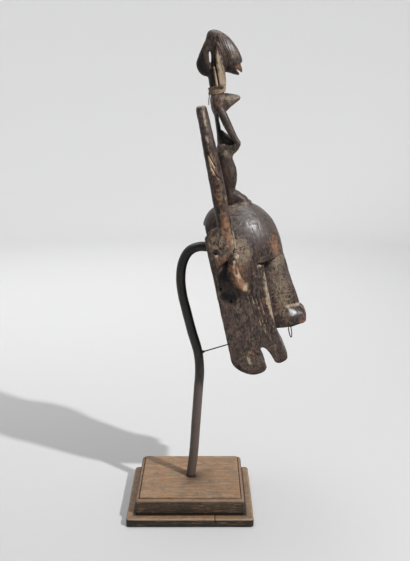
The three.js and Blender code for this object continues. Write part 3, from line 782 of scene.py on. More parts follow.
relief = -OUTER_SCOOP * outside * (1 - on_figure) * (1 - 0.7 * on_dome) * scoops(points, (11, 11, 17), seed=3)
relief -= FIGURE_SCOOP * on_figure * scoops(points, (5, 5, 9), seed=5)
relief -= GOUGE_MARK * inside * scoops(points, (13, 13, 26), seed=7)
relief += UNEVENNESS * outside * (1 - 0.6 * on_figure) * noise(points, 22, seed=11, octaves=3)
relief += GRAIN * noise(points, (1.6, 1.6, 14), seed=13, octaves=2)
relief += EAR_UNEVENNESS * on_ear * noise(points, 7, seed=12, octaves=2)
relief += CHEEK_GRAIN * on_cheek * noise(points, (2.4, 2.4, 45), seed=14, octaves=2)
relief -= PIT * patch(points, 8.4, 167, 2.4, 2.4) * near_side
checks = np.abs(noise(points, (5, 5, 60), seed=17))
relief -= CHECK * smoothstep(0.045, 0.0, checks) * smoothstep(0.1, 0.5, noise(points, 40, seed=19))
print("relief from", round(relief.min(), 2), "to", round(relief.max(), 2), "mm")

# %% [markdown]
# ## Lines, cracks and tresses
# The cheek has parallel scars, the foot of the figure two lines round it, the near horn an open split
# with splinters beside it, and the figure's head combed tresses. Each is a line in the side view with
# a width and a depth. Those of the cheek and the hair are cut only where the surface faces sideways.

# %% Lines on the cheeks, the crown and the horn
CHEEK_LINES = [[(46, 150), (50, 112)], [(52, 151), (58, 94)], [(58, 144), (63, 92)], [(64, 139), (68, 90)]]
CHEEK_LINE_DEPTH = 1.3
SIDE_LINE_DEPTH = 0.7
CROWN_LINES = [([(54, 272), (72, 268), (86, 259)], 0.5, 2.6), ([(40, 268), (58, 266)], 0.4, 2.0)]
HORN_SPLITS = [[(29, 368), (33.5, 357), (37.5, 345)], [(31.5, 346), (36, 334), (39, 329)]]
SPLINTERS = [[(27.5, 366), (31, 350)], [(33, 352), (36.5, 336)]]
SPLIT_DEPTH = 1.9
SPLIT_HOLLOW = 0.9
SPLINTER_HEIGHT = 0.8

facing_side = smoothstep(0.35, 0.7, np.abs(normals[:, 1]))
for path in CHEEK_LINES:
    relief -= CHEEK_LINE_DEPTH * line_cut(points, path, 2.2) * facing_side * outside
    beside = [(u + 3, w - 6) for u, w in path]
    relief -= SIDE_LINE_DEPTH * line_cut(points, beside, 1.6) * facing_side * outside
for path, line_depth, line_width in CROWN_LINES:
    relief -= line_depth * line_cut(points, path, line_width) * outside * (1 - on_figure)

horn_near = near_side * smoothstep(-36, -41, points[:, 1]) * (points[:, 2] > 300)
relief -= SPLIT_HOLLOW * patch(points, 33, 350, 6, 19) * horn_near
for path in HORN_SPLITS:
    relief -= SPLIT_DEPTH * line_cut(points, path, 2.6) * horn_near
for path in SPLINTERS:
    relief += SPLINTER_HEIGHT * line_cut(points, path, 2.6) * horn_near
print(len(CHEEK_LINES), "cheek lines and", len(HORN_SPLITS), "splits")

# %% Tresses, and the worn front of the hair
TRESS_COUNT = 9
LOCK_LINE_COUNT = 4
HAIR_LINE_DEPTH = 0.5
WORN_FRONT_DEPTH = 1.1

on_head = smoothstep(470, 476, points[:, 2]) * (points[:, 0] > 74)
on_lock = smoothstep(463, 468, points[:, 2]) * (points[:, 0] < 79) * (np.abs(points[:, 1]) > 9)
for k in range(TRESS_COUNT):
    top = (74 + 3.6 * k, 529 - 2.6 * k)
    foot = (84 + 2.9 * k, 477 + 1.2 * k)
    relief -= HAIR_LINE_DEPTH * line_cut(points, [top, foot], 2.0) * on_head * facing_side
for k in range(LOCK_LINE_COUNT):
    foot = (62.5 + 3.2 * k, 466)
    top = (foot[0] + 3.5, 512)
    relief -= HAIR_LINE_DEPTH * line_cut(points, [foot, top], 1.8) * facing_side * on_lock
worn_front = smoothstep(99, 106, points[:, 0]) * smoothstep(520, 500, points[:, 2]) * on_head
relief -= WORN_FRONT_DEPTH * worn_front * smoothstep(-0.1, 0.5, noise(points, (3, 6, 5), seed=23))
print(TRESS_COUNT, "tresses and", LOCK_LINE_COUNT, "lines on the lock, on each side")

# %% [markdown]
# ## Wear and chips
# How far a smoothed copy of the surface lies from the surface itself says where it sticks out and
# where it is hollow. Hands rub the first and dirt stays in the second. What sticks out most is drawn
# in a little and gets a few small chips. The value, here called sunk, is kept for the finish.

# %% Wear and chips
CHIP_DEPTH = 0.7

points = points + normals * relief[:, None]
sunk = ((smoothed(points, edges, 14) - points) * normals).sum(1)
points = smoothed(points, edges, 4, 0.5 * smoothstep(0.35, 1.0, -sunk) * outside)
chipped = smoothstep(0.15, 0.45, noise(points, 9, seed=29, octaves=2)) * smoothstep(0.25, 0.6, -sunk)
points = points - normals * (CHIP_DEPTH * chipped * outside)[:, None]
broadly_sunk = ((smoothed(points, edges, 45) - points) * normals_of(points, quads)).sum(1)
sunk = sunk + 0.5 * broadly_sunk
print("chips on", round(100 * (chipped > 0.5).mean(), 1), "% of the points")

# %% Pieces from points
def new_piece(name, points, faces):
    """A piece from points in millimetres of the whole object."""
    mesh = bpy.data.meshes.new(name)
    mesh.vertices.add(len(points))
    mesh.vertices.foreach_set("co", (points * MM).astype(np.float32).ravel())
    mesh.loops.add(faces.size)
    mesh.loops.foreach_set("vertex_index", faces.astype(np.int32).ravel())
    mesh.polygons.add(len(faces))
    mesh.polygons.foreach_set("loop_start", np.arange(0, faces.size, faces.shape[1], dtype=np.int32))
    mesh.update(calc_edges=True)
    mesh.validate()
    mesh.shade_smooth()
    piece = bpy.data.objects.new(name, mesh)
    bpy.context.scene.collection.objects.link(piece)
    return piece


def applied(piece):
    """The piece with its modifiers made part of its mesh."""
    graph = bpy.context.evaluated_depsgraph_get()
    mesh = bpy.data.meshes.new_from_object(piece.evaluated_get(graph))
    piece.modifiers.clear()
    old = piece.data
    piece.data = mesh
    bpy.data.meshes.remove(old)
    return piece


mask_piece = new_piece("carved_mask", to_object(points), quads)
print(mask_piece.name, "has", len(mask_piece.data.polygons), "faces before it is thinned")

# %% [markdown]
# ## Where hands, dirt and dust have been, and where shade and sheen are painted
# Old wood isn't worn by one rule. Hands polish the forehead and the nose, dust and old paste crust the
# flanks, edges are rubbed bare and smoke stays behind. Some ovals stand for light and shade as well:
# the polished places also get a painted grey sheen, a few thin bare strokes are painted highlights, and
# the sooty list is mostly painted shade under the temple plate, the ear, the nose block and the arms.
# Each list below holds ovals in the side view: the place (u, w) of the middle, the reach in u and in w,
# and the strength. They could be painted by hand on the mesh, but as short lists they can be read and
# changed. Every point keeps one value from each list, and the finish reads the values by name.

# %% Places of wear, as ovals
CRUSTED = [
    (30, 90, 60, 95, 0.24), (100, 135, 24, 70, 0.85), (102, 180, 18, 20, 1.0), (50, 216, 22, 36, 1.1),
    (30, 35, 34, 34, 0.5), (60, 276, 30, 7, 0.6), (60, 358, 15, 11, 0.8), (20, 232, 26, 30, 0.6),
    (98, 103, 34, 7, 0.7), (52, 250, 20, 26, 0.4), (26, 128, 9, 11, 0.6), (99, 497, 9, 14, 0.8),
    (80, 434, 18, 12, 0.9), (34, 300, 8, 90, 0.3), (34, 410, 9, 40, 0.5), (72, 480, 8, 40, 0.6),
    (104, 206, 18, 17, 0.45)]
REDDENED = [
    (105, 208, 19, 26, 1.0), (34, 350, 9, 28, 0.9), (34, 250, 13, 44, 0.8), (33, 315, 12, 60, 0.6),
    (96, 112, 22, 50, 0.4), (101, 477, 8, 7, 0.7), (14, 236, 16, 26, 0.4), (36, 184, 16, 34, 0.8),
    (42, 164, 10, 12, 1.0), (36, 46, 18, 22, 0.4), (122, 74, 11, 6, 0.8), (60, 440, 20, 30, 0.3),
    (66, 120, 5, 50, 0.4), (20, 207, 16, 12, 0.6), (38, 188, 10, 34, 0.5)]
# Polished places: a glossier coat, and also a painted grey sheen in the colour, on the dome, the nose block,
# the breasts and the figure's head.
POLISHED_AND_SHEEN = [
    (76, 246, 40, 42, 1.3), (112, 94, 19, 12, 1.8), (88, 439, 13, 9, 0.9), (96, 507, 14, 18, 0.9),
    (34, 404, 12, 34, 0.6), (84, 56, 14, 30, 0.4), (70, 376, 14, 40, 0.3), (112, 165, 8, 40, 0.6)]
# Bare wood, rubbed through the patina. The thin strokes on the horn, along the top of the hips, on the upper
# edge of the breasts and along the top of the platform under the feet are painted highlights.
BARED_AND_HIGHLIT = [
    (42, 234, 4, 22, 0.8), (41, 211, 7, 5, 1.0), (12, 217, 5, 3, 0.9), (112, 104, 20, 3.5, 1.0),
    (37, 204, 6, 8, 0.7), (38, 186, 6, 18, 0.5), (44, 162, 7, 8, 0.75), (58, 372, 14, 2, 0.4),
    (74, 487, 7, 36, 0.9), (64.4, 472, 3, 18, 0.8), (70, 462, 13, 18, 1.2), (36, 414, 3, 24, 0.85),
    (33, 386, 3, 28, 0.7), (34, 433, 9, 3, 0.5), (60, 280, 26, 2, 0.5), (84, 443.5, 14, 2.5, 0.5),
    (84, 60, 6, 34, 0.4), (27, 40, 4, 18, 0.8), (72, 330, 5, 8, 0.4), (72, 369, 14, 2, 0.4),
    (71, 186, 6, 3, 0.9), (60, 90, 4, 30, 0.4)]
# Mostly painted shade: under the temple plate, the ear and the nose block, in the eye notch, under the
# figure's arms, in the slots of the hair and on the backs of the horns and of the bun. A few broad weak ovals
# darken the flank of the face.
SHADED_AND_SOOTY = [
    (43, 492, 22, 42, 0.85), (62, 500, 5, 20, 1.0), (56, 464, 3, 20, 0.6), (52, 396, 14, 24, 1.0),
    (23, 400, 6, 60, 1.0), (21, 320, 7, 60, 1.0), (22, 184, 22, 16, 0.9), (11, 153, 11, 10, 1.0),
    (21, 149, 12, 8, 0.9), (57, 318, 10, 30, 0.5), (2, 256, 12, 20, 0.6), (108, 70, 26, 8, 1.0),
    (66.8, 474, 1.2, 24, 1.0), (84, 187, 16, 4, 1.0), (6, 222, 5, 8, 0.5), (8, 165, 4, 4, 0.9),
    (96, 98, 20, 2.5, 0.5), (9, 27, 7, 18, 0.8), (30, 11, 24, 5, 0.8), (70, 22, 20, 5, 0.5),
    (30, 128, 34, 70, 0.22), (45, 100, 14, 60, 0.2)]


def spread(spots):
    """The strongest of several ovals, at each point."""
    return np.max([strength * patch(points, u, w, reach_u, reach_w)
                   for u, w, reach_u, reach_w, strength in spots], axis=0)


print("ovals:", sum(len(spots) for spots in (CRUSTED, REDDENED, POLISHED_AND_SHEEN, BARED_AND_HIGHLIT, SHADED_AND_SOOTY)))

# %% Values kept at each point, and the finished carving
MASK_TRIANGLES = 190_000

from_edge = np.abs(np.abs(points[:, 1]) - ridge_half_width(points[:, 2]))
cheek_edge = 0.85 * patch(points, 77, 128, 8, 62) * smoothstep(7, 2, from_edge)
bare_and_highlight = np.max([spread(BARED_AND_HIGHLIT) * outside, patch(points, 33, 350, 7, 22) * horn_near, cheek_edge], axis=0)
for path in CHEEK_LINES:
    beside = [(u - 1.6, w - 3) for u, w in path]
    bare_and_highlight = np.maximum(bare_and_highlight, 0.62 * line_cut(points, beside, 2.6) * facing_side * outside)
brow_middle = patch(points, 106, 210, 24, 30) * smoothstep(44, 12, np.abs(points[:, 1]))
# The polished values also paint a sheen, the bare ones a few highlights, and the sooty ones mostly shade.
kept_values = {
    "sunk": sunk,
    "crusted": spread(CRUSTED) * (1 - 0.6 * inside),
    "reddened": spread(REDDENED) * (1 - 0.9 * brow_middle),
    "polished_and_sheen": spread(POLISHED_AND_SHEEN),
    "bared_and_highlit": bare_and_highlight,
    "shaded_and_sooty": spread(SHADED_AND_SOOTY) * (1 - 0.95 * on_ear),
}
for name, value in kept_values.items():
    kept = mask_piece.data.attributes.new(name, "FLOAT", "POINT")
    kept.data.foreach_set("value", value.astype(np.float32))
thinner = mask_piece.modifiers.new("fewer faces", "DECIMATE")
thinner.ratio = MASK_TRIANGLES / (2 * len(quads))
applied(mask_piece)
mask_piece.data.shade_smooth()
print("carved mask:", len(mask_piece.data.polygons), "triangles; it keeps", list(kept_values))

# %% [markdown]
# ## Rod, strut and ring
# The rod is a mild steel bar bent cold into a long S, with a thin strut welded on to steady the
# mask. A round section swept along a smooth route gives it. The same sweep, joined end to end, makes
# the nose ring. A curve object with a bevel would do too, but points in hand let the
# radius change, for the weld and for the dents.

# %% A round bar along a route
ROD_ROUTE = [(-1, 26), (0, 41), (5, 82), (9, 138), (13, 194), (15, 226), (12.5, 256), (3, 290), (-6, 326),
             (-12, 352), (-14.5, 378), (-11, 404), (-1, 421.5), (14, 428.5), (30, 428), (62, 424.5),
             (101, 421.5)]
ROD_FOOT_BACK = 4
ROD_STRAIGHT_ABOVE = 250
ROD_POINTS = 260
ROD_FOOT_POINTS = 60
STRUT_FROM = (17, 256)
STRUT_TO = (98, 280.8)
STRUT_RADIUS = 1.0
WELD_LENGTH = 8
WELD_HEIGHT = 1.9


def tube(path, radius, sides, looped=False):
    """A round bar along a path of points. The radius may differ from point to point."""
    path = np.array(path, float)
    ahead = np.roll(path, -1, 0) - np.roll(path, 1, 0)
    if not looped:
        ahead[0], ahead[-1] = path[1] - path[0], path[-1] - path[-2]
    ahead /= np.linalg.norm(ahead, axis=1)[:, None]
    angle = np.linspace(0, 2 * np.pi, sides, endpoint=False)
    normal = np.cross(ahead[0], (0.05, 1, 0.02))
    rings = []
    for place, along, reach in zip(path, ahead, np.broadcast_to(radius, len(path))):
        normal = normal - along * (normal @ along)
        normal /= np.linalg.norm(normal)
        side = np.cross(along, normal)
        rings.append(place + reach * (np.outer(np.cos(angle), normal) + np.outer(np.sin(angle), side)))
    return loft(rings, looped)


def together(*bodies):
    """Several bodies as one list of points and one of faces."""
    points = np.vstack([p for p, _ in bodies])
    starts = np.cumsum([0] + [len(p) for p, _ in bodies[:-1]])
    return points, np.vstack([f + start for (_, f), start in zip(bodies, starts)])


def upright(route):
    """Points of the middle plane as points in space."""
    return np.insert(np.array(route, float), 1, 0, axis=1)


def faced_outwards(piece):
    """The piece with all its faces turned outwards."""
    shape = bmesh.new()
    shape.from_mesh(piece.data)
    bmesh.ops.recalc_face_normals(shape, faces=shape.faces)
    shape.to_mesh(piece.data)
    shape.free()
    return piece


rod_path = upright(through(ROD_ROUTE, ROD_POINTS))
rod_path[:, 1] = ROD_FOOT_BACK * (1 - smoothstep(40, ROD_STRAIGHT_ABOVE, rod_path[:, 2]))
dents = noise(rod_path, (11, 11, 17), seed=41) * 0.12
rod = tube(rod_path, ROD_RADIUS - 0.1 + dents, 40)
strut_path = upright(np.linspace(STRUT_FROM, STRUT_TO, 80))
from_rod = np.linalg.norm(strut_path - strut_path[0], axis=1)
weld = STRUT_RADIUS + WELD_HEIGHT * smoothstep(WELD_LENGTH, 2, from_rod) * (1 + 0.15 * np.sin(from_rod * 4))
strut = tube(strut_path, weld, 20)
rod_piece = faced_outwards(new_piece("bent_rod", *together(rod, strut)))
print("bent rod:", len(rod_piece.data.polygons), "triangles")

# %% The nose ring
ring_side = np.cross(RING_AXIS, (0, 0, 1))
ring_side /= np.linalg.norm(ring_side)
ring_up = np.cross(ring_side, RING_AXIS)
turn = np.linspace(0, 2 * np.pi, 90, endpoint=False)
ring_path = RING_CENTRE + RING_RADIUS * (np.outer(np.cos(turn), ring_side) + np.outer(np.sin(turn), ring_up))
ring_path += 0.12 * noise(ring_path, 7, seed=43)[:, None] * RING_AXIS
wire = RING_WIRE - 0.06 + 0.05 * noise(ring_path, 3, seed=44)
ring_points, ring_faces = tube(ring_path, wire, 14, looped=True)
ring_piece = faced_outwards(new_piece("iron_nose_ring", to_object(ring_points), ring_faces))
print("nose ring:", 2 * RING_RADIUS, "mm across")

# %% [markdown]
# ## The string round the neck
# A length of hand-twisted fibre is wound round the neck of the figure. It is knotted behind, where one
# end hangs down, and the other end stands up in front. So there are three paths: a helix, the knot with
# its end, and the stub. Geometry Nodes turn a path into cord: the path is copied once for each strand,
# each copy is turned about the middle by an angle that grows with the distance along it, and a small
# round profile is swept along the copies. Changing the number of strands or the lay is then one value.

# %% The paths of the string
STRING_REACH = 11.8
STRING_RADIUS = 1.0
STRING_TURNS = 5.5
STRING_PITCH = 1.95
STRING_HEIGHT = 447
STRING_STRANDS = 3
STRING_LAY = 7.0
WINDING_POINTS = 230
KNOT = [(-0.2, 0.5, 4.6), (-1.2, 1.9, 2.4), (-0.6, 0.6, 0.6), (-0.9, -1.8, 1.6), (-1.6, -0.6, 3.2),
        (-1.2, 1.0, 1.0), (-1.6, 0.3, -2.5), (-2.6, 0, -5), (-3.9, 0.4, -10), (-4.6, 0, -14)]
STUB = [(-0.6, 0, 2), (1.0, 0, 4.2), (1.8, 0, 8.5)]

winding_turn = np.linspace(np.pi, np.pi + STRING_TURNS * 2 * np.pi, WINDING_POINTS)
winding = np.stack([STRING_CENTRE + STRING_REACH * np.cos(winding_turn), STRING_REACH * np.sin(winding_turn),
                    STRING_HEIGHT + STRING_PITCH * (winding_turn - np.pi) / (2 * np.pi)], 1)
winding[:, 2] += 0.35 * noise(winding, 9, seed=51)
knot = np.array(KNOT) + (STRING_CENTRE - STRING_REACH, 0, STRING_HEIGHT)
stub = np.array(STUB) + (STRING_CENTRE + STRING_REACH, 0, STRING_HEIGHT)


def string_path(points):
    """A bare chain of edges in metres of the whole object, for the tree to turn into cord."""
    mesh = bpy.data.meshes.new("string path")
    points = to_object(points) * MM
    mesh.from_pydata(points.tolist(), [(i, i + 1) for i in range(len(points) - 1)], [])
    return mesh


path_length = np.linalg.norm(np.diff(winding, axis=0), axis=1).sum()
print("string wound:", round(path_length), "mm")

# %% A tree that twists strands along a path
CORD_STEP = 0.6


class Tree:
    """A Geometry Nodes tree under construction, with named inputs."""

    def __init__(self, name):
        self.group = bpy.data.node_groups.new(name, "GeometryNodeTree")
        self.group.interface.new_socket("Geometry", in_out="INPUT", socket_type="NodeSocketGeometry")
        self.group.interface.new_socket("Geometry", in_out="OUTPUT", socket_type="NodeSocketGeometry")
        self.inputs = self.group.nodes.new("NodeGroupInput")
        self.outputs = self.group.nodes.new("NodeGroupOutput")
        self.names = {}

    def value(self, name, kind="NodeSocketFloat"):
        """A named input. Its identifier is kept too, because the modifier asks for that."""
        socket = self.group.interface.new_socket(name, in_out="INPUT", socket_type=kind)
        self.names[name] = socket.identifier
        return self.inputs.outputs[name]

    def node(self, kind, settings=None, out=0, **values):
        """A node of that type: its settings first, then its sockets by name."""
        made = self.group.nodes.new(kind)
        for key, setting in (settings or {}).items():
            setattr(made, key, setting)
        for key, given in values.items():
            socket = made.inputs[key.replace("_", " ")]
            if isinstance(given, bpy.types.NodeSocket):
                self.group.links.new(given, socket)
            else:
                socket.default_value = given
        return made.outputs[out]

    def sum(self, operation, a, b):
        made = self.group.nodes.new("ShaderNodeMath")
        made.operation = operation
        for socket, given in zip(made.inputs, (a, b)):
            if isinstance(given, bpy.types.NodeSocket):
                self.group.links.new(given, socket)
            else:
                socket.default_value = given
        return made.outputs[0]

    def vector_sum(self, operation, a, b):
        made = self.group.nodes.new("ShaderNodeVectorMath")
        made.operation = operation
        self.group.links.new(a, made.inputs[0])
        if operation == "SCALE":
            self.group.links.new(b, made.inputs["Scale"])
        else:
            self.group.links.new(b, made.inputs[1])
        return made.outputs[0]

    def end(self, geometry, material):
        """Realize Instances, Set Material, and the way out."""
        real = self.node("GeometryNodeRealizeInstances", Geometry=geometry)
        made = self.group.nodes.new("GeometryNodeSetMaterial")
        self.group.links.new(real, made.inputs["Geometry"])
        made.inputs["Material"].default_value = material
        self.group.links.new(made.outputs[0], self.outputs.inputs[0])


def cord_tree(material):
    """Strands that wind round each other along a chain of edges."""
    tree = Tree("twisted cord")
    radius = tree.value("Radius")
    strands = tree.value("Strands", "NodeSocketInt")
    lay = tree.value("Lay")
    curve = tree.node("GeometryNodeMeshToCurve", Mesh=tree.inputs.outputs["Geometry"])
    curve = tree.node("GeometryNodeResampleCurve", {"mode": "LENGTH"}, Curve=curve, Length=CORD_STEP * MM)
    copies = tree.group.nodes.new("GeometryNodeDuplicateElements")
    copies.domain = "SPLINE"
    tree.group.links.new(curve, copies.inputs["Geometry"])
    tree.group.links.new(strands, copies.inputs["Amount"])
    length = tree.node("GeometryNodeSplineParameter", out="Length")
    share = tree.sum("DIVIDE", copies.outputs["Duplicate Index"], strands)
    angle = tree.sum("MULTIPLY", tree.sum("ADD", tree.sum("DIVIDE", length, lay), share), 2 * math.pi)
    offset = tree.sum("MULTIPLY", radius, 0.5)
    normal = tree.node("GeometryNodeInputNormal")
    side = tree.vector_sum("CROSS_PRODUCT", tree.node("GeometryNodeInputTangent"), normal)
    ahead = tree.sum("MULTIPLY", offset, tree.sum("COSINE", angle, 0))
    aside = tree.sum("MULTIPLY", offset, tree.sum("SINE", angle, 0))
    along_normal = tree.vector_sum("SCALE", normal, ahead)
    along_side = tree.vector_sum("SCALE", side, aside)
    strand = tree.node("GeometryNodeSetPosition", Geometry=copies.outputs["Geometry"],
                       Offset=tree.vector_sum("ADD", along_normal, along_side))
    profile = tree.node("GeometryNodeCurvePrimitiveCircle", Resolution=6,
                        Radius=tree.sum("MULTIPLY", radius, 0.56))
    cord = tree.node("GeometryNodeCurveToMesh", Curve=strand, Profile_Curve=profile, Fill_Caps=True)
    tree.end(cord, material)
    return tree


def corded(name, points, material, radius):
    """A finished piece of twisted cord along the points."""
    piece = bpy.data.objects.new(name, string_path(points))
    bpy.context.scene.collection.objects.link(piece)
    tree = cord_tree(material)
    twist = piece.modifiers.new("twist", "NODES")
    twist.node_group = tree.group
    twist[tree.names["Radius"]] = radius * MM
    twist[tree.names["Strands"]] = STRING_STRANDS
    twist[tree.names["Lay"]] = STRING_LAY * MM
    return applied(piece)


fibre = bpy.data.materials.new("string fibre")
string_piece = corded("neck_winding", winding, fibre, STRING_RADIUS * 0.94)
knot_piece = corded("neck_knot", through(knot, 120), fibre, STRING_RADIUS * 0.72)
stub_piece = corded("string_stub", through(stub, 20), fibre, STRING_RADIUS * 0.6)
print("string:", len(string_piece.data.polygons) + len(knot_piece.data.polygons), "faces")

# %% [markdown]
# ## The plinth
# Two tiers of stained oak. The upper has a plain band, a rounded moulding and a groove before its top
# panel. The lower is a plain board whose front has split to the right of its middle. A profile swept
# round a rectangle makes each, as a router does on the real one.

# %% A block with a profile all round
LOWER_TIER = (200, 187, 13)
UPPER_TIER = (173, 164, 27)
BAND_TOP = 32.8
SET_BACK = 3.7
LOWER_CORNER = 5
UPPER_CORNER = 2.5
SPLIT_AT = 39
SPLIT_WIDTH = 0.9


def rounded_rectangle(half_x, half_y, corner, along=44, corner_steps=6):
    """Points round a rectangle with rounded corners, always the same number of them."""
    arcs = []
    for quarter, (sx, sy) in enumerate([(1, -1), (1, 1), (-1, 1), (-1, -1)]):
        angle = np.linspace(0, np.pi / 2, corner_steps) + np.pi / 2 * (quarter - 1)
        arcs.append(np.stack([sx * (half_x - corner) + corner * np.cos(angle),
                              sy * (half_y - corner) + corner * np.sin(angle)], 1))
    points = []
    for k, arc in enumerate(arcs):
        run = arcs[(k + 1) % 4][0] - arc[-1]
        points += [arc, arc[-1] + run * (np.arange(1, along) / along)[:, None]]
    return np.vstack(points)


def moulded_block(width, depth, profile, corner):
    """A block with the given profile of (distance in, height) points, from the bottom up."""
    return loft([np.insert(rounded_rectangle(width / 2 - inset, depth / 2 - inset, corner), 2, z, axis=1)
                 for inset, z in profile])


def worn_in(points, most=0.3):
    """The points drawn in a little and unevenly, as wear does to the corners of a board."""
    inwards = -points * (1, 1, 0) / (np.linalg.norm(points[:, :2], axis=1)[:, None] + 1)
    wear = np.clip(noise(points, (24, 24, 6), seed=61, octaves=2) + 0.2, 0, 1)
    return points + inwards * (most * wear)[:, None]


def without(piece, body):
    """The piece with a closed body cut out of it."""
    cutter = faced_outwards(new_piece("cutter", *body))
    cut = piece.modifiers.new("cut", "BOOLEAN")
    cut.operation = "DIFFERENCE"
    cut.object = cutter
    applied(piece)
    bpy.data.objects.remove(cutter)
    return piece


# %% Lower tier, with its split
width, depth, height = LOWER_TIER
lower_profile = [(0.9, 0), (0.25, 0.3), (0, 1), (0, 4), (0, 8), (0, height - 2.6), (0.25, height - 1.6),
                 (0.9, height - 0.7), (1.7, height - 0.2), (2.6, height), (6, height), (30, height)]
points, faces = moulded_block(width, depth, lower_profile, LOWER_CORNER)
lower_piece = faced_outwards(new_piece("plinth_board", worn_in(points), faces))
split = loft([[(SPLIT_AT - SPLIT_WIDTH / 2, y, z), (SPLIT_AT + SPLIT_WIDTH / 2, y, z),
               (SPLIT_AT + SPLIT_WIDTH / 2 + 0.3, y, z + 8), (SPLIT_AT - SPLIT_WIDTH / 2, y, z + 8)]
              for y, z in ((-depth, 1.5), (-depth / 2 + 18, 8))])
without(lower_piece, split)
print("lower tier", LOWER_TIER, "mm, split at x", SPLIT_AT)

# %% Upper tier, with its moulding and the hole for the rod
width, depth, height = UPPER_TIER
upper_base = LOWER_TIER[2] + CLEARANCE
upper_top = LOWER_TIER[2] + height
bead = [(0.7 + 4.1 * (1 - math.cos(a)), BAND_TOP + 4.2 * math.sin(a))
        for a in np.linspace(0.1, np.pi / 2, 8)]
upper_profile = [(1.2, upper_base), (0.3, upper_base + 0.3), (0, upper_base + 1.2), (0, upper_base + 9),
                 (0, BAND_TOP - 1.2), (0.3, BAND_TOP - 0.3), *bead, (5.1, BAND_TOP + 3.9),
                 (5.25, BAND_TOP + 2.9), (6.1, BAND_TOP + 2.8), (6.3, BAND_TOP + 3.6),
                 (6.5, upper_top - 1.0), (6.9, upper_top - 0.3), (7.7, upper_top), (12, upper_top),
                 (40, upper_top)]
points, faces = moulded_block(width, depth, upper_profile, UPPER_CORNER)
points[:, 1] += SET_BACK
upper_piece = faced_outwards(new_piece("plinth_panel", worn_in(points), faces))
without(upper_piece, tube(rod_path[:ROD_FOOT_POINTS], ROD_RADIUS + CLEARANCE, 40))
print("upper tier", UPPER_TIER, "mm")

# %% [markdown]
# ## Finishes as sums
# A finish is built as a sum of patterns. One small class stands for any value in the material and knows
# how to add, multiply and compare, so a finish reads like arithmetic. Another holds the
# material and makes its nodes.

# %% Sockets that do sums
class Value:
    """A value that changes over a surface. It can stand on either side of a sum."""

    def __init__(self, finish, socket):
        self.finish, self.socket = finish, socket

    def math(self, operation, *others):
        return self.finish.node("ShaderNodeMath", {"operation": operation}, *others)

    def __add__(self, other):
        return self.math("ADD", self, other)

    def __mul__(self, other):
        return self.math("MULTIPLY", self, other)

    def __sub__(self, other):
        return self.math("SUBTRACT", self, other)

    def __rsub__(self, other):
        return self.math("SUBTRACT", other, self)

    def __abs__(self):
        return self.math("ABSOLUTE", self)

    __radd__ = __add__
    __rmul__ = __mul__

    def most(self, other):
        return self.math("MAXIMUM", self, other)

    def least(self, other):
        return self.math("MINIMUM", self, other)

    def rise(self, low, high):
        """0 below `low`, 1 above `high`, with a smooth rise between. low may be the larger one."""
        if low > high:
            return 1 - self.rise(high, low)
        return self.finish.node("ShaderNodeMapRange", {"interpolation_type": "SMOOTHSTEP"}, self, low, high)


IN_MILLIMETRES = [(0, 0, 0), (0, 0, 0), (MM, MM, MM)]


class Finish:
    """A material under construction."""

    def __init__(self, name, metallic=0.0):
        self.material = bpy.data.materials.new(name)
        self.material.use_nodes = True
        self.tree = self.material.node_tree
        self.shader = self.tree.nodes["Principled BSDF"]
        self.shader.inputs["Metallic"].default_value = metallic

    def link(self, given, socket):
        """Joins a value to a socket, or sets the socket."""
        if isinstance(given, Value):
            self.tree.links.new(given.socket, socket)
        else:
            socket.default_value = given

    def node(self, kind, settings=None, *values, out=0, **named):
        """Any node: its type, its settings, and the values or links of its sockets in order or by name."""
        made = self.tree.nodes.new(kind)
        for key, setting in (settings or {}).items():
            setattr(made, key, setting)
        for given, socket in zip(values, made.inputs):
            self.link(given, socket)
        for key, given in named.items():
            self.link(given, made.inputs[key.replace("_", " ")])
        return Value(self, made.outputs[out])

    def mix(self, factor, first, second):
        """Two colours mixed; the factor is clamped."""
        made = self.tree.nodes.new("ShaderNodeMix")
        made.data_type = "RGBA"
        for given, key in ((factor, "Factor_Float"), (first, "A_Color"), (second, "B_Color")):
            socket = next(s for s in made.inputs if s.identifier == key)
            self.link((*given, 1) if isinstance(given, tuple) else given, socket)
        return Value(self, next(s for s in made.outputs if s.identifier == "Result_Color"))

    def place(self, mapping=None):
        """Object coordinates, turned and scaled by a Mapping node's settings if given."""
        place = self.node("ShaderNodeTexCoord", out=3)
        if mapping:
            place = self.node("ShaderNodeMapping", {"vector_type": "TEXTURE"}, place, *mapping)
        return place

    def kept(self, name):
        """A value that the mesh keeps for each of its points."""
        return self.node("ShaderNodeAttribute", {"attribute_name": name}, out=2)

    def noise(self, place, size, detail=3.0, roughness=0.55, distortion=0.0):
        """Soft noise from 0 to 1 with features of about that size in each direction."""
        size = size if isinstance(size, tuple) else (size,) * 3
        scaled = self.node("ShaderNodeVectorMath", {"operation": "DIVIDE"}, place, size)
        return self.node("ShaderNodeTexNoise", None, Vector=scaled, Scale=1.0, Detail=detail,
                         Roughness=roughness, Distortion=distortion)

    def parts(self, place):
        """The three numbers of a place."""
        made = self.tree.nodes.new("ShaderNodeSeparateXYZ")
        self.link(place, made.inputs[0])
        return [Value(self, socket) for socket in made.outputs]

    def bump(self, height, strength, distance):
        """A normal bent by a height. The distance is in metres."""
        return self.node("ShaderNodeBump", None, Strength=strength, Distance=distance, Height=height)

    def finish(self, colour, roughness, normal=None, coat=None, specular=0.5):
        """The material, with its colour, roughness, normal and coat led to the shader."""
        for key, given in (("Base Color", colour), ("Roughness", roughness), ("Normal", normal),
                           ("Coat Weight", coat)):
            if given is not None:
                self.link((*given, 1) if isinstance(given, tuple) else given, self.shader.inputs[key])
        self.shader.inputs["Specular IOR Level"].default_value = specular
        return self.material


def painted(piece, material):
    """The piece with that material alone."""
    piece.data.materials.clear()
    piece.data.materials.append(material)
    return piece


print("finishes can now be written as sums")
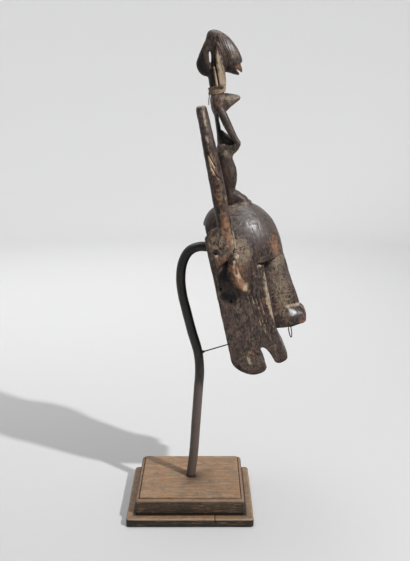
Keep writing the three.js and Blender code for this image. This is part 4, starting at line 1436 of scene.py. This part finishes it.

# %% [markdown]
# ## Old dark wood
# The mask is one dark hardwood, smoked and handled for a long time. The ground colour is a streaky brown
# that runs nearly black where smoke and dirt stay, and where shade is painted in: under the plate, the
# ear and the nose block, in the eye notch, under the arms and on the backs of the horns and the bun.
# Where it sticks out the patina is rubbed through to orange and beige wood, and a few thin pale strokes
# are painted highlights. Polished places get a glossier coat and a painted grey sheen in their colour.
# The pattern is laid in the mask's own frame, in millimetres, so that grain runs up the mask. The values
# kept at its points say what sticks out, where each kind of wear lies and where shade, sheen and
# highlights are painted.

# %% The carved wood
MASK_MAPPING = [tuple(MASK_ORIGIN * MM), (0.0, -MASK_TILT, 0.0), (MM, MM, MM)]
DEEP_BROWN = (0.008, 0.006, 0.006)
WARM_BROWN = (0.066, 0.044, 0.034)
PLUM_BROWN = (0.072, 0.040, 0.032)
DUSTY_BROWN = (0.110, 0.082, 0.064)
RED_BROWN = (0.190, 0.090, 0.047)
PALE_DUST = (0.235, 0.180, 0.130)
PAINTED_SHEEN_GREY = (0.058, 0.051, 0.048)
RUBBED_ORANGE = (0.23, 0.13, 0.072)
BEIGE_BARE_AND_HIGHLIGHT = (0.36, 0.275, 0.19)
SHADE_AND_SOOT_BLACK = (0.007, 0.006, 0.006)


def carved_wood():
    wood = Finish("carved wood")
    place = wood.place(MASK_MAPPING)
    sunk, crusted, reddened, polished_and_sheen, bared_and_highlit, shaded_and_sooty = (
        wood.kept(name) for name in ("sunk", "crusted", "reddened", "polished_and_sheen", "bared_and_highlit", "shaded_and_sooty"))
    grain = wood.noise(place, (2.2, 2.2, 34), detail=4)
    fine = wood.noise(place, (0.8, 0.8, 9), detail=3)
    broad = wood.noise(place, (20, 20, 42), detail=3)
    mottle = wood.noise(place, 4.5, detail=4)
    clouds = wood.noise(place, (9, 9, 15), detail=5, roughness=0.65, distortion=0.8)
    flecks = wood.noise(place, 1.9, detail=3, roughness=0.7)
    tone = 0.45 * grain + 0.22 * fine + 0.33 * mottle
    colour = wood.mix(tone.rise(0.40, 0.60), DEEP_BROWN, WARM_BROWN)
    colour = wood.mix(broad.rise(0.48, 0.64) * 0.45, colour, PLUM_BROWN)
    colour = wood.mix(clouds.rise(0.54, 0.70) * 0.55, colour, DUSTY_BROWN)
    colour = wood.mix(clouds.rise(0.46, 0.32) * 0.7, colour, SHADE_AND_SOOT_BLACK)
    red = (reddened + 1.4 * (mottle - 0.5) + 1.6 * (tone - 0.5) + 1.2 * (clouds - 0.5)).rise(0.15, 1.25)
    colour = wood.mix(red * 0.9, colour, RED_BROWN)
    crust = (flecks + 0.2 * crusted + 0.4 * (mottle - 0.5) + 0.6 * (clouds - 0.5)).rise(0.48, 0.84) * crusted
    colour = wood.mix(crust, colour, PALE_DUST)
    # A painted grey sheen where the wood is polished; the same value makes the coat glossier there.
    gloss_and_sheen = polished_and_sheen * mottle.rise(0.2, 0.5)
    colour = wood.mix(gloss_and_sheen * 0.45, colour, PAINTED_SHEEN_GREY)
    rubbed = (sunk + (mottle - 0.5) * 1.6 + (broad - 0.5) * 2.0).rise(-0.7, -1.7)
    colour = wood.mix(rubbed * 0.7, colour, RUBBED_ORANGE)
    uneven = 0.8 * (fine - 0.5) + 1.3 * (mottle - 0.5) + 1.3 * (grain - 0.5) + 1.2 * (clouds - 0.5)
    # Bare beige wood, together with a few thin painted highlights.
    bare_and_highlight = (bared_and_highlit + uneven).rise(0.32, 0.95)
    bare_and_highlight = bare_and_highlight.most((sunk + (fine - 0.5) * 1.2 + (broad - 0.5) * 1.5).rise(-1.6, -2.4) * 0.6)
    colour = wood.mix(bare_and_highlight * 0.8, colour, BEIGE_BARE_AND_HIGHLIGHT)
    # Mostly painted shade from the list of ovals; the next line adds dirt in the hollows to it.
    shade_and_soot = (shaded_and_sooty + (mottle - 0.5) * 0.8 + (clouds - 0.5) * 1.2).rise(0.35, 0.75)
    dirt_and_shade = (sunk + (mottle - 0.5) * 0.8).rise(0.25, 1.0).most(shade_and_soot)
    colour = wood.mix(dirt_and_shade * 0.88, colour, SHADE_AND_SOOT_BLACK)
    roughness = 0.48 - 0.08 * gloss_and_sheen + 0.25 * crust + 0.2 * (mottle - 0.5)
    height = grain * 0.6 + fine * 0.4 + crust * 0.5
    coat = (0.06 + 0.45 * gloss_and_sheen) * (1 - crust) * (1 - shade_and_soot)
    wood.shader.inputs["Coat Roughness"].default_value = 0.40
    return wood.finish(colour, roughness, wood.bump(height, 0.45, 0.0007), coat=coat, specular=0.22)


painted(mask_piece, carved_wood())
print("carved wood:", len(mask_piece.data.materials[0].node_tree.nodes), "nodes")

# %% [markdown]
# ## Waxed oak
# The plinth is oak. Its tops are rubbed tan, with dark whorls and short dark pores along the grain, and
# its sides are darker. Where a board is cut across, oak shows short upright rays. The height decides
# which of these a point gets, so one function finishes both tiers. A dark band is painted shade in the
# gap where the upper tier sits on the lower.

# %% The oak of the plinth
# Dark pores, scratches and seams, and the painted shade in the gap between the tiers.
OAK_DARK_AND_GAP_SHADE = (0.016, 0.011, 0.008)


def times(colour, *shares):
    """A colour with its three parts multiplied by one share, or by one each."""
    return tuple(part * share for part, share in zip(colour, shares * 3))


def oak(name, size, top, rubbed, side, rim, lines):
    """Oak with one look above `top` millimetres and another on its sides.

    `size` is the tier's width, depth and set-back. `lines` are dark seams: a distance in from the edge
    and a height, of which one is None, and a half width.
    """
    wood = Finish(name)
    place = wood.place(IN_MILLIMETRES)
    x, y, z = wood.parts(place)
    width, depth, back = size
    inset = (width / 2 - abs(x)).least(depth / 2 - abs(y - back))
    grain = wood.noise(place, (46, 5, 5), detail=5, distortion=1.2)
    whorls = wood.noise(place, (16, 9, 9), detail=5, distortion=2.6)
    pores = wood.noise(place, (13, 0.8, 0.8), detail=2)
    rays = wood.noise(place, (2.6, 12, 9), detail=3, distortion=0.6)
    blotch = wood.noise(place, (24, 15, 15), detail=3)
    scratch = wood.noise(place, (8, 3.4, 2.4), detail=3, distortion=2.0)
    streaks = wood.noise(place, (24, 24, 2.0), detail=3, distortion=0.6)
    above = (z + (blotch - 0.5) * 1.2).rise(top - 0.5, top + 0.2)
    colour = wood.mix(grain.rise(0.40, 0.62), times(rubbed, 0.68), times(rubbed, 1.08))
    colour = wood.mix(abs(whorls - 0.5).rise(0.05, 0.0) * 0.7, colour, times(rubbed, 0.42))
    colour = wood.mix(blotch.rise(0.5, 0.66) * 0.45, colour, times(rubbed, 0.95, 0.68, 0.5))
    colour = wood.mix(blotch.rise(0.44, 0.32) * 0.6, colour, times(rubbed, 0.42, 0.5, 0.6))
    below = wood.mix((0.6 * rays + 0.4 * grain).rise(0.4, 0.62), times(side, 0.5), side)
    below = wood.mix(streaks.rise(0.50, 0.66) * 0.5, below, times(rubbed, 0.8, 0.72, 0.62))
    below = wood.mix(blotch.rise(0.5, 0.4) * 0.5, below, times(side, 0.45))
    colour = wood.mix(1 - above, colour, below)
    edge = (abs(inset - 1.5) - (blotch - 0.5) * 3).rise(1.8, 0.3) * above
    colour = wood.mix(edge * 0.7, colour, rim)
    dark = (pores.rise(0.38, 0.30) * 0.7).most(scratch.rise(0.60, 0.70) * 0.75 * above)
    # Painted shade in the gap where the upper tier sits on the lower one.
    to_upper = (UPPER_TIER[0] / 2 - abs(x)).least(UPPER_TIER[1] / 2 - abs(y - SET_BACK))
    gap_shade = abs(z - LOWER_TIER[2] - 0.6).rise(2.8, 1.8) * abs(to_upper + 0.8).rise(3.0, 2.0)
    dark = dark.most(gap_shade)
    for distance, height, reach in lines:
        at = inset - distance if distance is not None else z - height
        dark = dark.most(abs(at).rise(reach, reach * 0.5) * 0.9)
    colour = wood.mix(dark, colour, OAK_DARK_AND_GAP_SHADE)
    roughness = 0.5 + 0.2 * blotch
    return wood.finish(colour, roughness, wood.bump(grain * 0.4 + pores * 0.6, 0.5, 0.0006), specular=0.4)


upper_lines = [(5.6, None, 1.0), (None, BAND_TOP + 0.2, 0.6)]
painted(upper_piece, oak("plinth panel oak", (UPPER_TIER[0], UPPER_TIER[1], SET_BACK), BAND_TOP + 1.4,
                         (0.240, 0.150, 0.085), (0.046, 0.029, 0.016), (0.120, 0.075, 0.042), upper_lines))
painted(lower_piece, oak("plinth board oak", (LOWER_TIER[0], LOWER_TIER[1], 0), 11.4,
                         (0.205, 0.130, 0.074), (0.013, 0.011, 0.008), (0.230, 0.148, 0.085), []))
print("the upper tier's top colours begin at", BAND_TOP + 1.4, "mm")

# %% [markdown]
# ## Steel, iron and fibre
# The rod is blackened steel that has turned brown lower down. The ring is rusted wire. The string is pale
# plant fibre, stained dark in places.

# %% Rod, ring and string
def rod_steel():
    steel = Finish("rod steel")
    place = steel.place(IN_MILLIMETRES)
    _, _, z = steel.parts(place)
    blotch = steel.noise(place, (8, 8, 22), detail=4)
    fine = steel.noise(place, 1.6, detail=3)
    brown = (z + (blotch - 0.5) * 90).rise(250, 170)
    colour = steel.mix(brown, (0.018, 0.016, 0.015), (0.075, 0.055, 0.045))
    colour = steel.mix(blotch.rise(0.55, 0.7) * 0.5, colour, (0.075, 0.042, 0.028))
    colour = steel.mix(fine.rise(0.6, 0.72) * 0.5, colour, (0.010, 0.009, 0.009))
    colour = steel.mix(z.rise(46, 41) * 0.9, colour, (0.012, 0.010, 0.009))
    return steel.finish(colour, 0.33 + 0.3 * blotch, steel.bump(fine, 0.3, 0.0004))


def ring_iron():
    iron = Finish("ring iron", metallic=0.6)
    place = iron.place(IN_MILLIMETRES)
    rust = iron.noise(place, 2.0, detail=4)
    colour = iron.mix(rust.rise(0.4, 0.6), (0.05, 0.045, 0.042), (0.11, 0.055, 0.03))
    return iron.finish(colour, 0.45 + 0.3 * rust, iron.bump(rust, 0.4, 0.0003))


def string_fibre(material):
    fibre = Finish(material.name)
    place = fibre.place(IN_MILLIMETRES)
    strand = fibre.noise(place, (1.0, 1.0, 0.5), detail=3)
    stain = fibre.noise(place, 7, detail=2)
    colour = fibre.mix(strand.rise(0.35, 0.65), (0.13, 0.085, 0.055), (0.44, 0.34, 0.24))
    colour = fibre.mix(stain.rise(0.5, 0.65) * 0.7, colour, (0.10, 0.07, 0.05))
    return fibre.finish(colour, 0.85, fibre.bump(strand, 0.5, 0.0003), specular=0.2)


painted(rod_piece, rod_steel())
painted(ring_piece, ring_iron())
for piece in (string_piece, knot_piece, stub_piece):
    painted(piece, string_fibre(fibre))
print("finishes:", [m.name for m in bpy.data.materials])

# %% [markdown]
# ## Each piece takes its place in the frame
# Every piece rides on the one body and stands for the solids that it covers.

# %% Pieces and the solids they stand for
PLACES = (
    (mask_piece, ("mask",), "carved_wood"),
    (ring_piece, ("nose_ring",), "ring_iron"),
    (string_piece, ("neck_string",), "string_fibre"),
    (knot_piece, (), "string_fibre"),
    (stub_piece, (), "string_fibre"),
    (rod_piece, ("support_rod", "rod_strut"), "rod_steel"),
    (upper_piece, ("plinth_upper",), "plinth_wood"),
    (lower_piece, ("plinth_lower",), "plinth_wood"),
)
for piece, solids, slot in PLACES:
    piece.data.shade_smooth()
    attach(piece, "root")
    if solids:
        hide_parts(*solids)
    print(piece.name, "stands for", solids)

# %% [markdown]
# ## Floor and light
# The object stands in a wide bowl of pale paper, so that no edge or corner shows behind it from any
# side. A small round lamp on the right, in front and above, gives the clear shadow on the left. A
# broad softbox overhead and a weak, even surround fill the shadows, as in a photographer's studio. The
# paper is a darker grey towards the lamp and paler away from it, which evens out the lamp's light.

# %% The paper floor
SWEEP_START = 2.6
SWEEP_RADIUS = 1.2
WALL_TOP = 4.0
FLOOR_DROP = 0.0005
PAPER_NEAR, PAPER_FAR = 0.40, 0.84
PAPER_TURNS = (-0.3, 2.4)
PAPER_SIDES = 96

bend = [(SWEEP_START + SWEEP_RADIUS * math.sin(a), SWEEP_RADIUS * (1 - math.cos(a)))
        for a in np.linspace(0, math.pi / 2, 24)]
side_view = [(0.001, 0), (SWEEP_START / 2, 0), *bend, (SWEEP_START + SWEEP_RADIUS, WALL_TOP)]
around = np.linspace(0, 2 * math.pi, PAPER_SIDES, endpoint=False)
floor_points = [(r * math.cos(a), r * math.sin(a), z - FLOOR_DROP) for r, z in side_view for a in around]
floor_faces = [(k * PAPER_SIDES + i, k * PAPER_SIDES + (i + 1) % PAPER_SIDES,
                (k + 1) * PAPER_SIDES + (i + 1) % PAPER_SIDES, (k + 1) * PAPER_SIDES + i)
               for k in range(len(side_view) - 1) for i in range(PAPER_SIDES)]
floor_mesh = bpy.data.meshes.new("floor")
floor_mesh.from_pydata(floor_points, [], floor_faces)
floor_mesh.shade_smooth()
floor = bpy.data.objects.new("floor", floor_mesh)
bpy.context.scene.collection.objects.link(floor)
paper = Finish("floor paper")
paper_x, paper_y, _ = paper.parts(paper.place())
from_lamp = 0.8 * paper_y - 0.5 * paper_x
paper_colour = paper.mix(from_lamp.rise(*PAPER_TURNS), (PAPER_NEAR,) * 3, (PAPER_FAR,) * 3)
painted(floor, paper.finish(paper_colour, 0.9, specular=0.1))
print("paper bowl", 2 * (SWEEP_START + SWEEP_RADIUS), "m across")

# %% Lamps and surround
MIDDLE = Vector((0.04, 0, 0.3))
LIGHT_DIRECTION = Vector((305, -262, 350)).normalized()
LIGHT_DISTANCE = 3.0
LIGHT_WIDTH = 0.10
LIGHT_POWER = 120
OVERHEAD_PLACE = (0, 0.5, 2.6)
OVERHEAD_AIM = (0, 0.3, 0)
OVERHEAD_WIDTH = 2.4
OVERHEAD_POWER = 62
SURROUND = 0.10


def soft_lamp(name, place, towards, width, power):
    """A round lamp that shines from a place towards a point."""
    data = bpy.data.lights.new(name, "AREA")
    data.shape = "DISK"
    data.size = width
    data.energy = power
    lamp = bpy.data.objects.new(name, data)
    lamp.location = place
    lamp.rotation_euler = (Vector(place) - Vector(towards)).to_track_quat("Z", "Y").to_euler()
    bpy.context.scene.collection.objects.link(lamp)


soft_lamp("key lamp", MIDDLE + LIGHT_DIRECTION * LIGHT_DISTANCE, MIDDLE, LIGHT_WIDTH, LIGHT_POWER)
soft_lamp("overhead softbox", OVERHEAD_PLACE, OVERHEAD_AIM, OVERHEAD_WIDTH, OVERHEAD_POWER)

world = bpy.data.worlds.new("studio")
world.use_nodes = True
world.node_tree.nodes["Background"].inputs["Color"].default_value = (0.97, 0.985, 1.0, 1)
world.node_tree.nodes["Background"].inputs["Strength"].default_value = SURROUND
bpy.context.scene.world = world
bpy.context.scene.view_settings.view_transform = "Standard"
print("key lamp", LIGHT_DISTANCE, "m away")
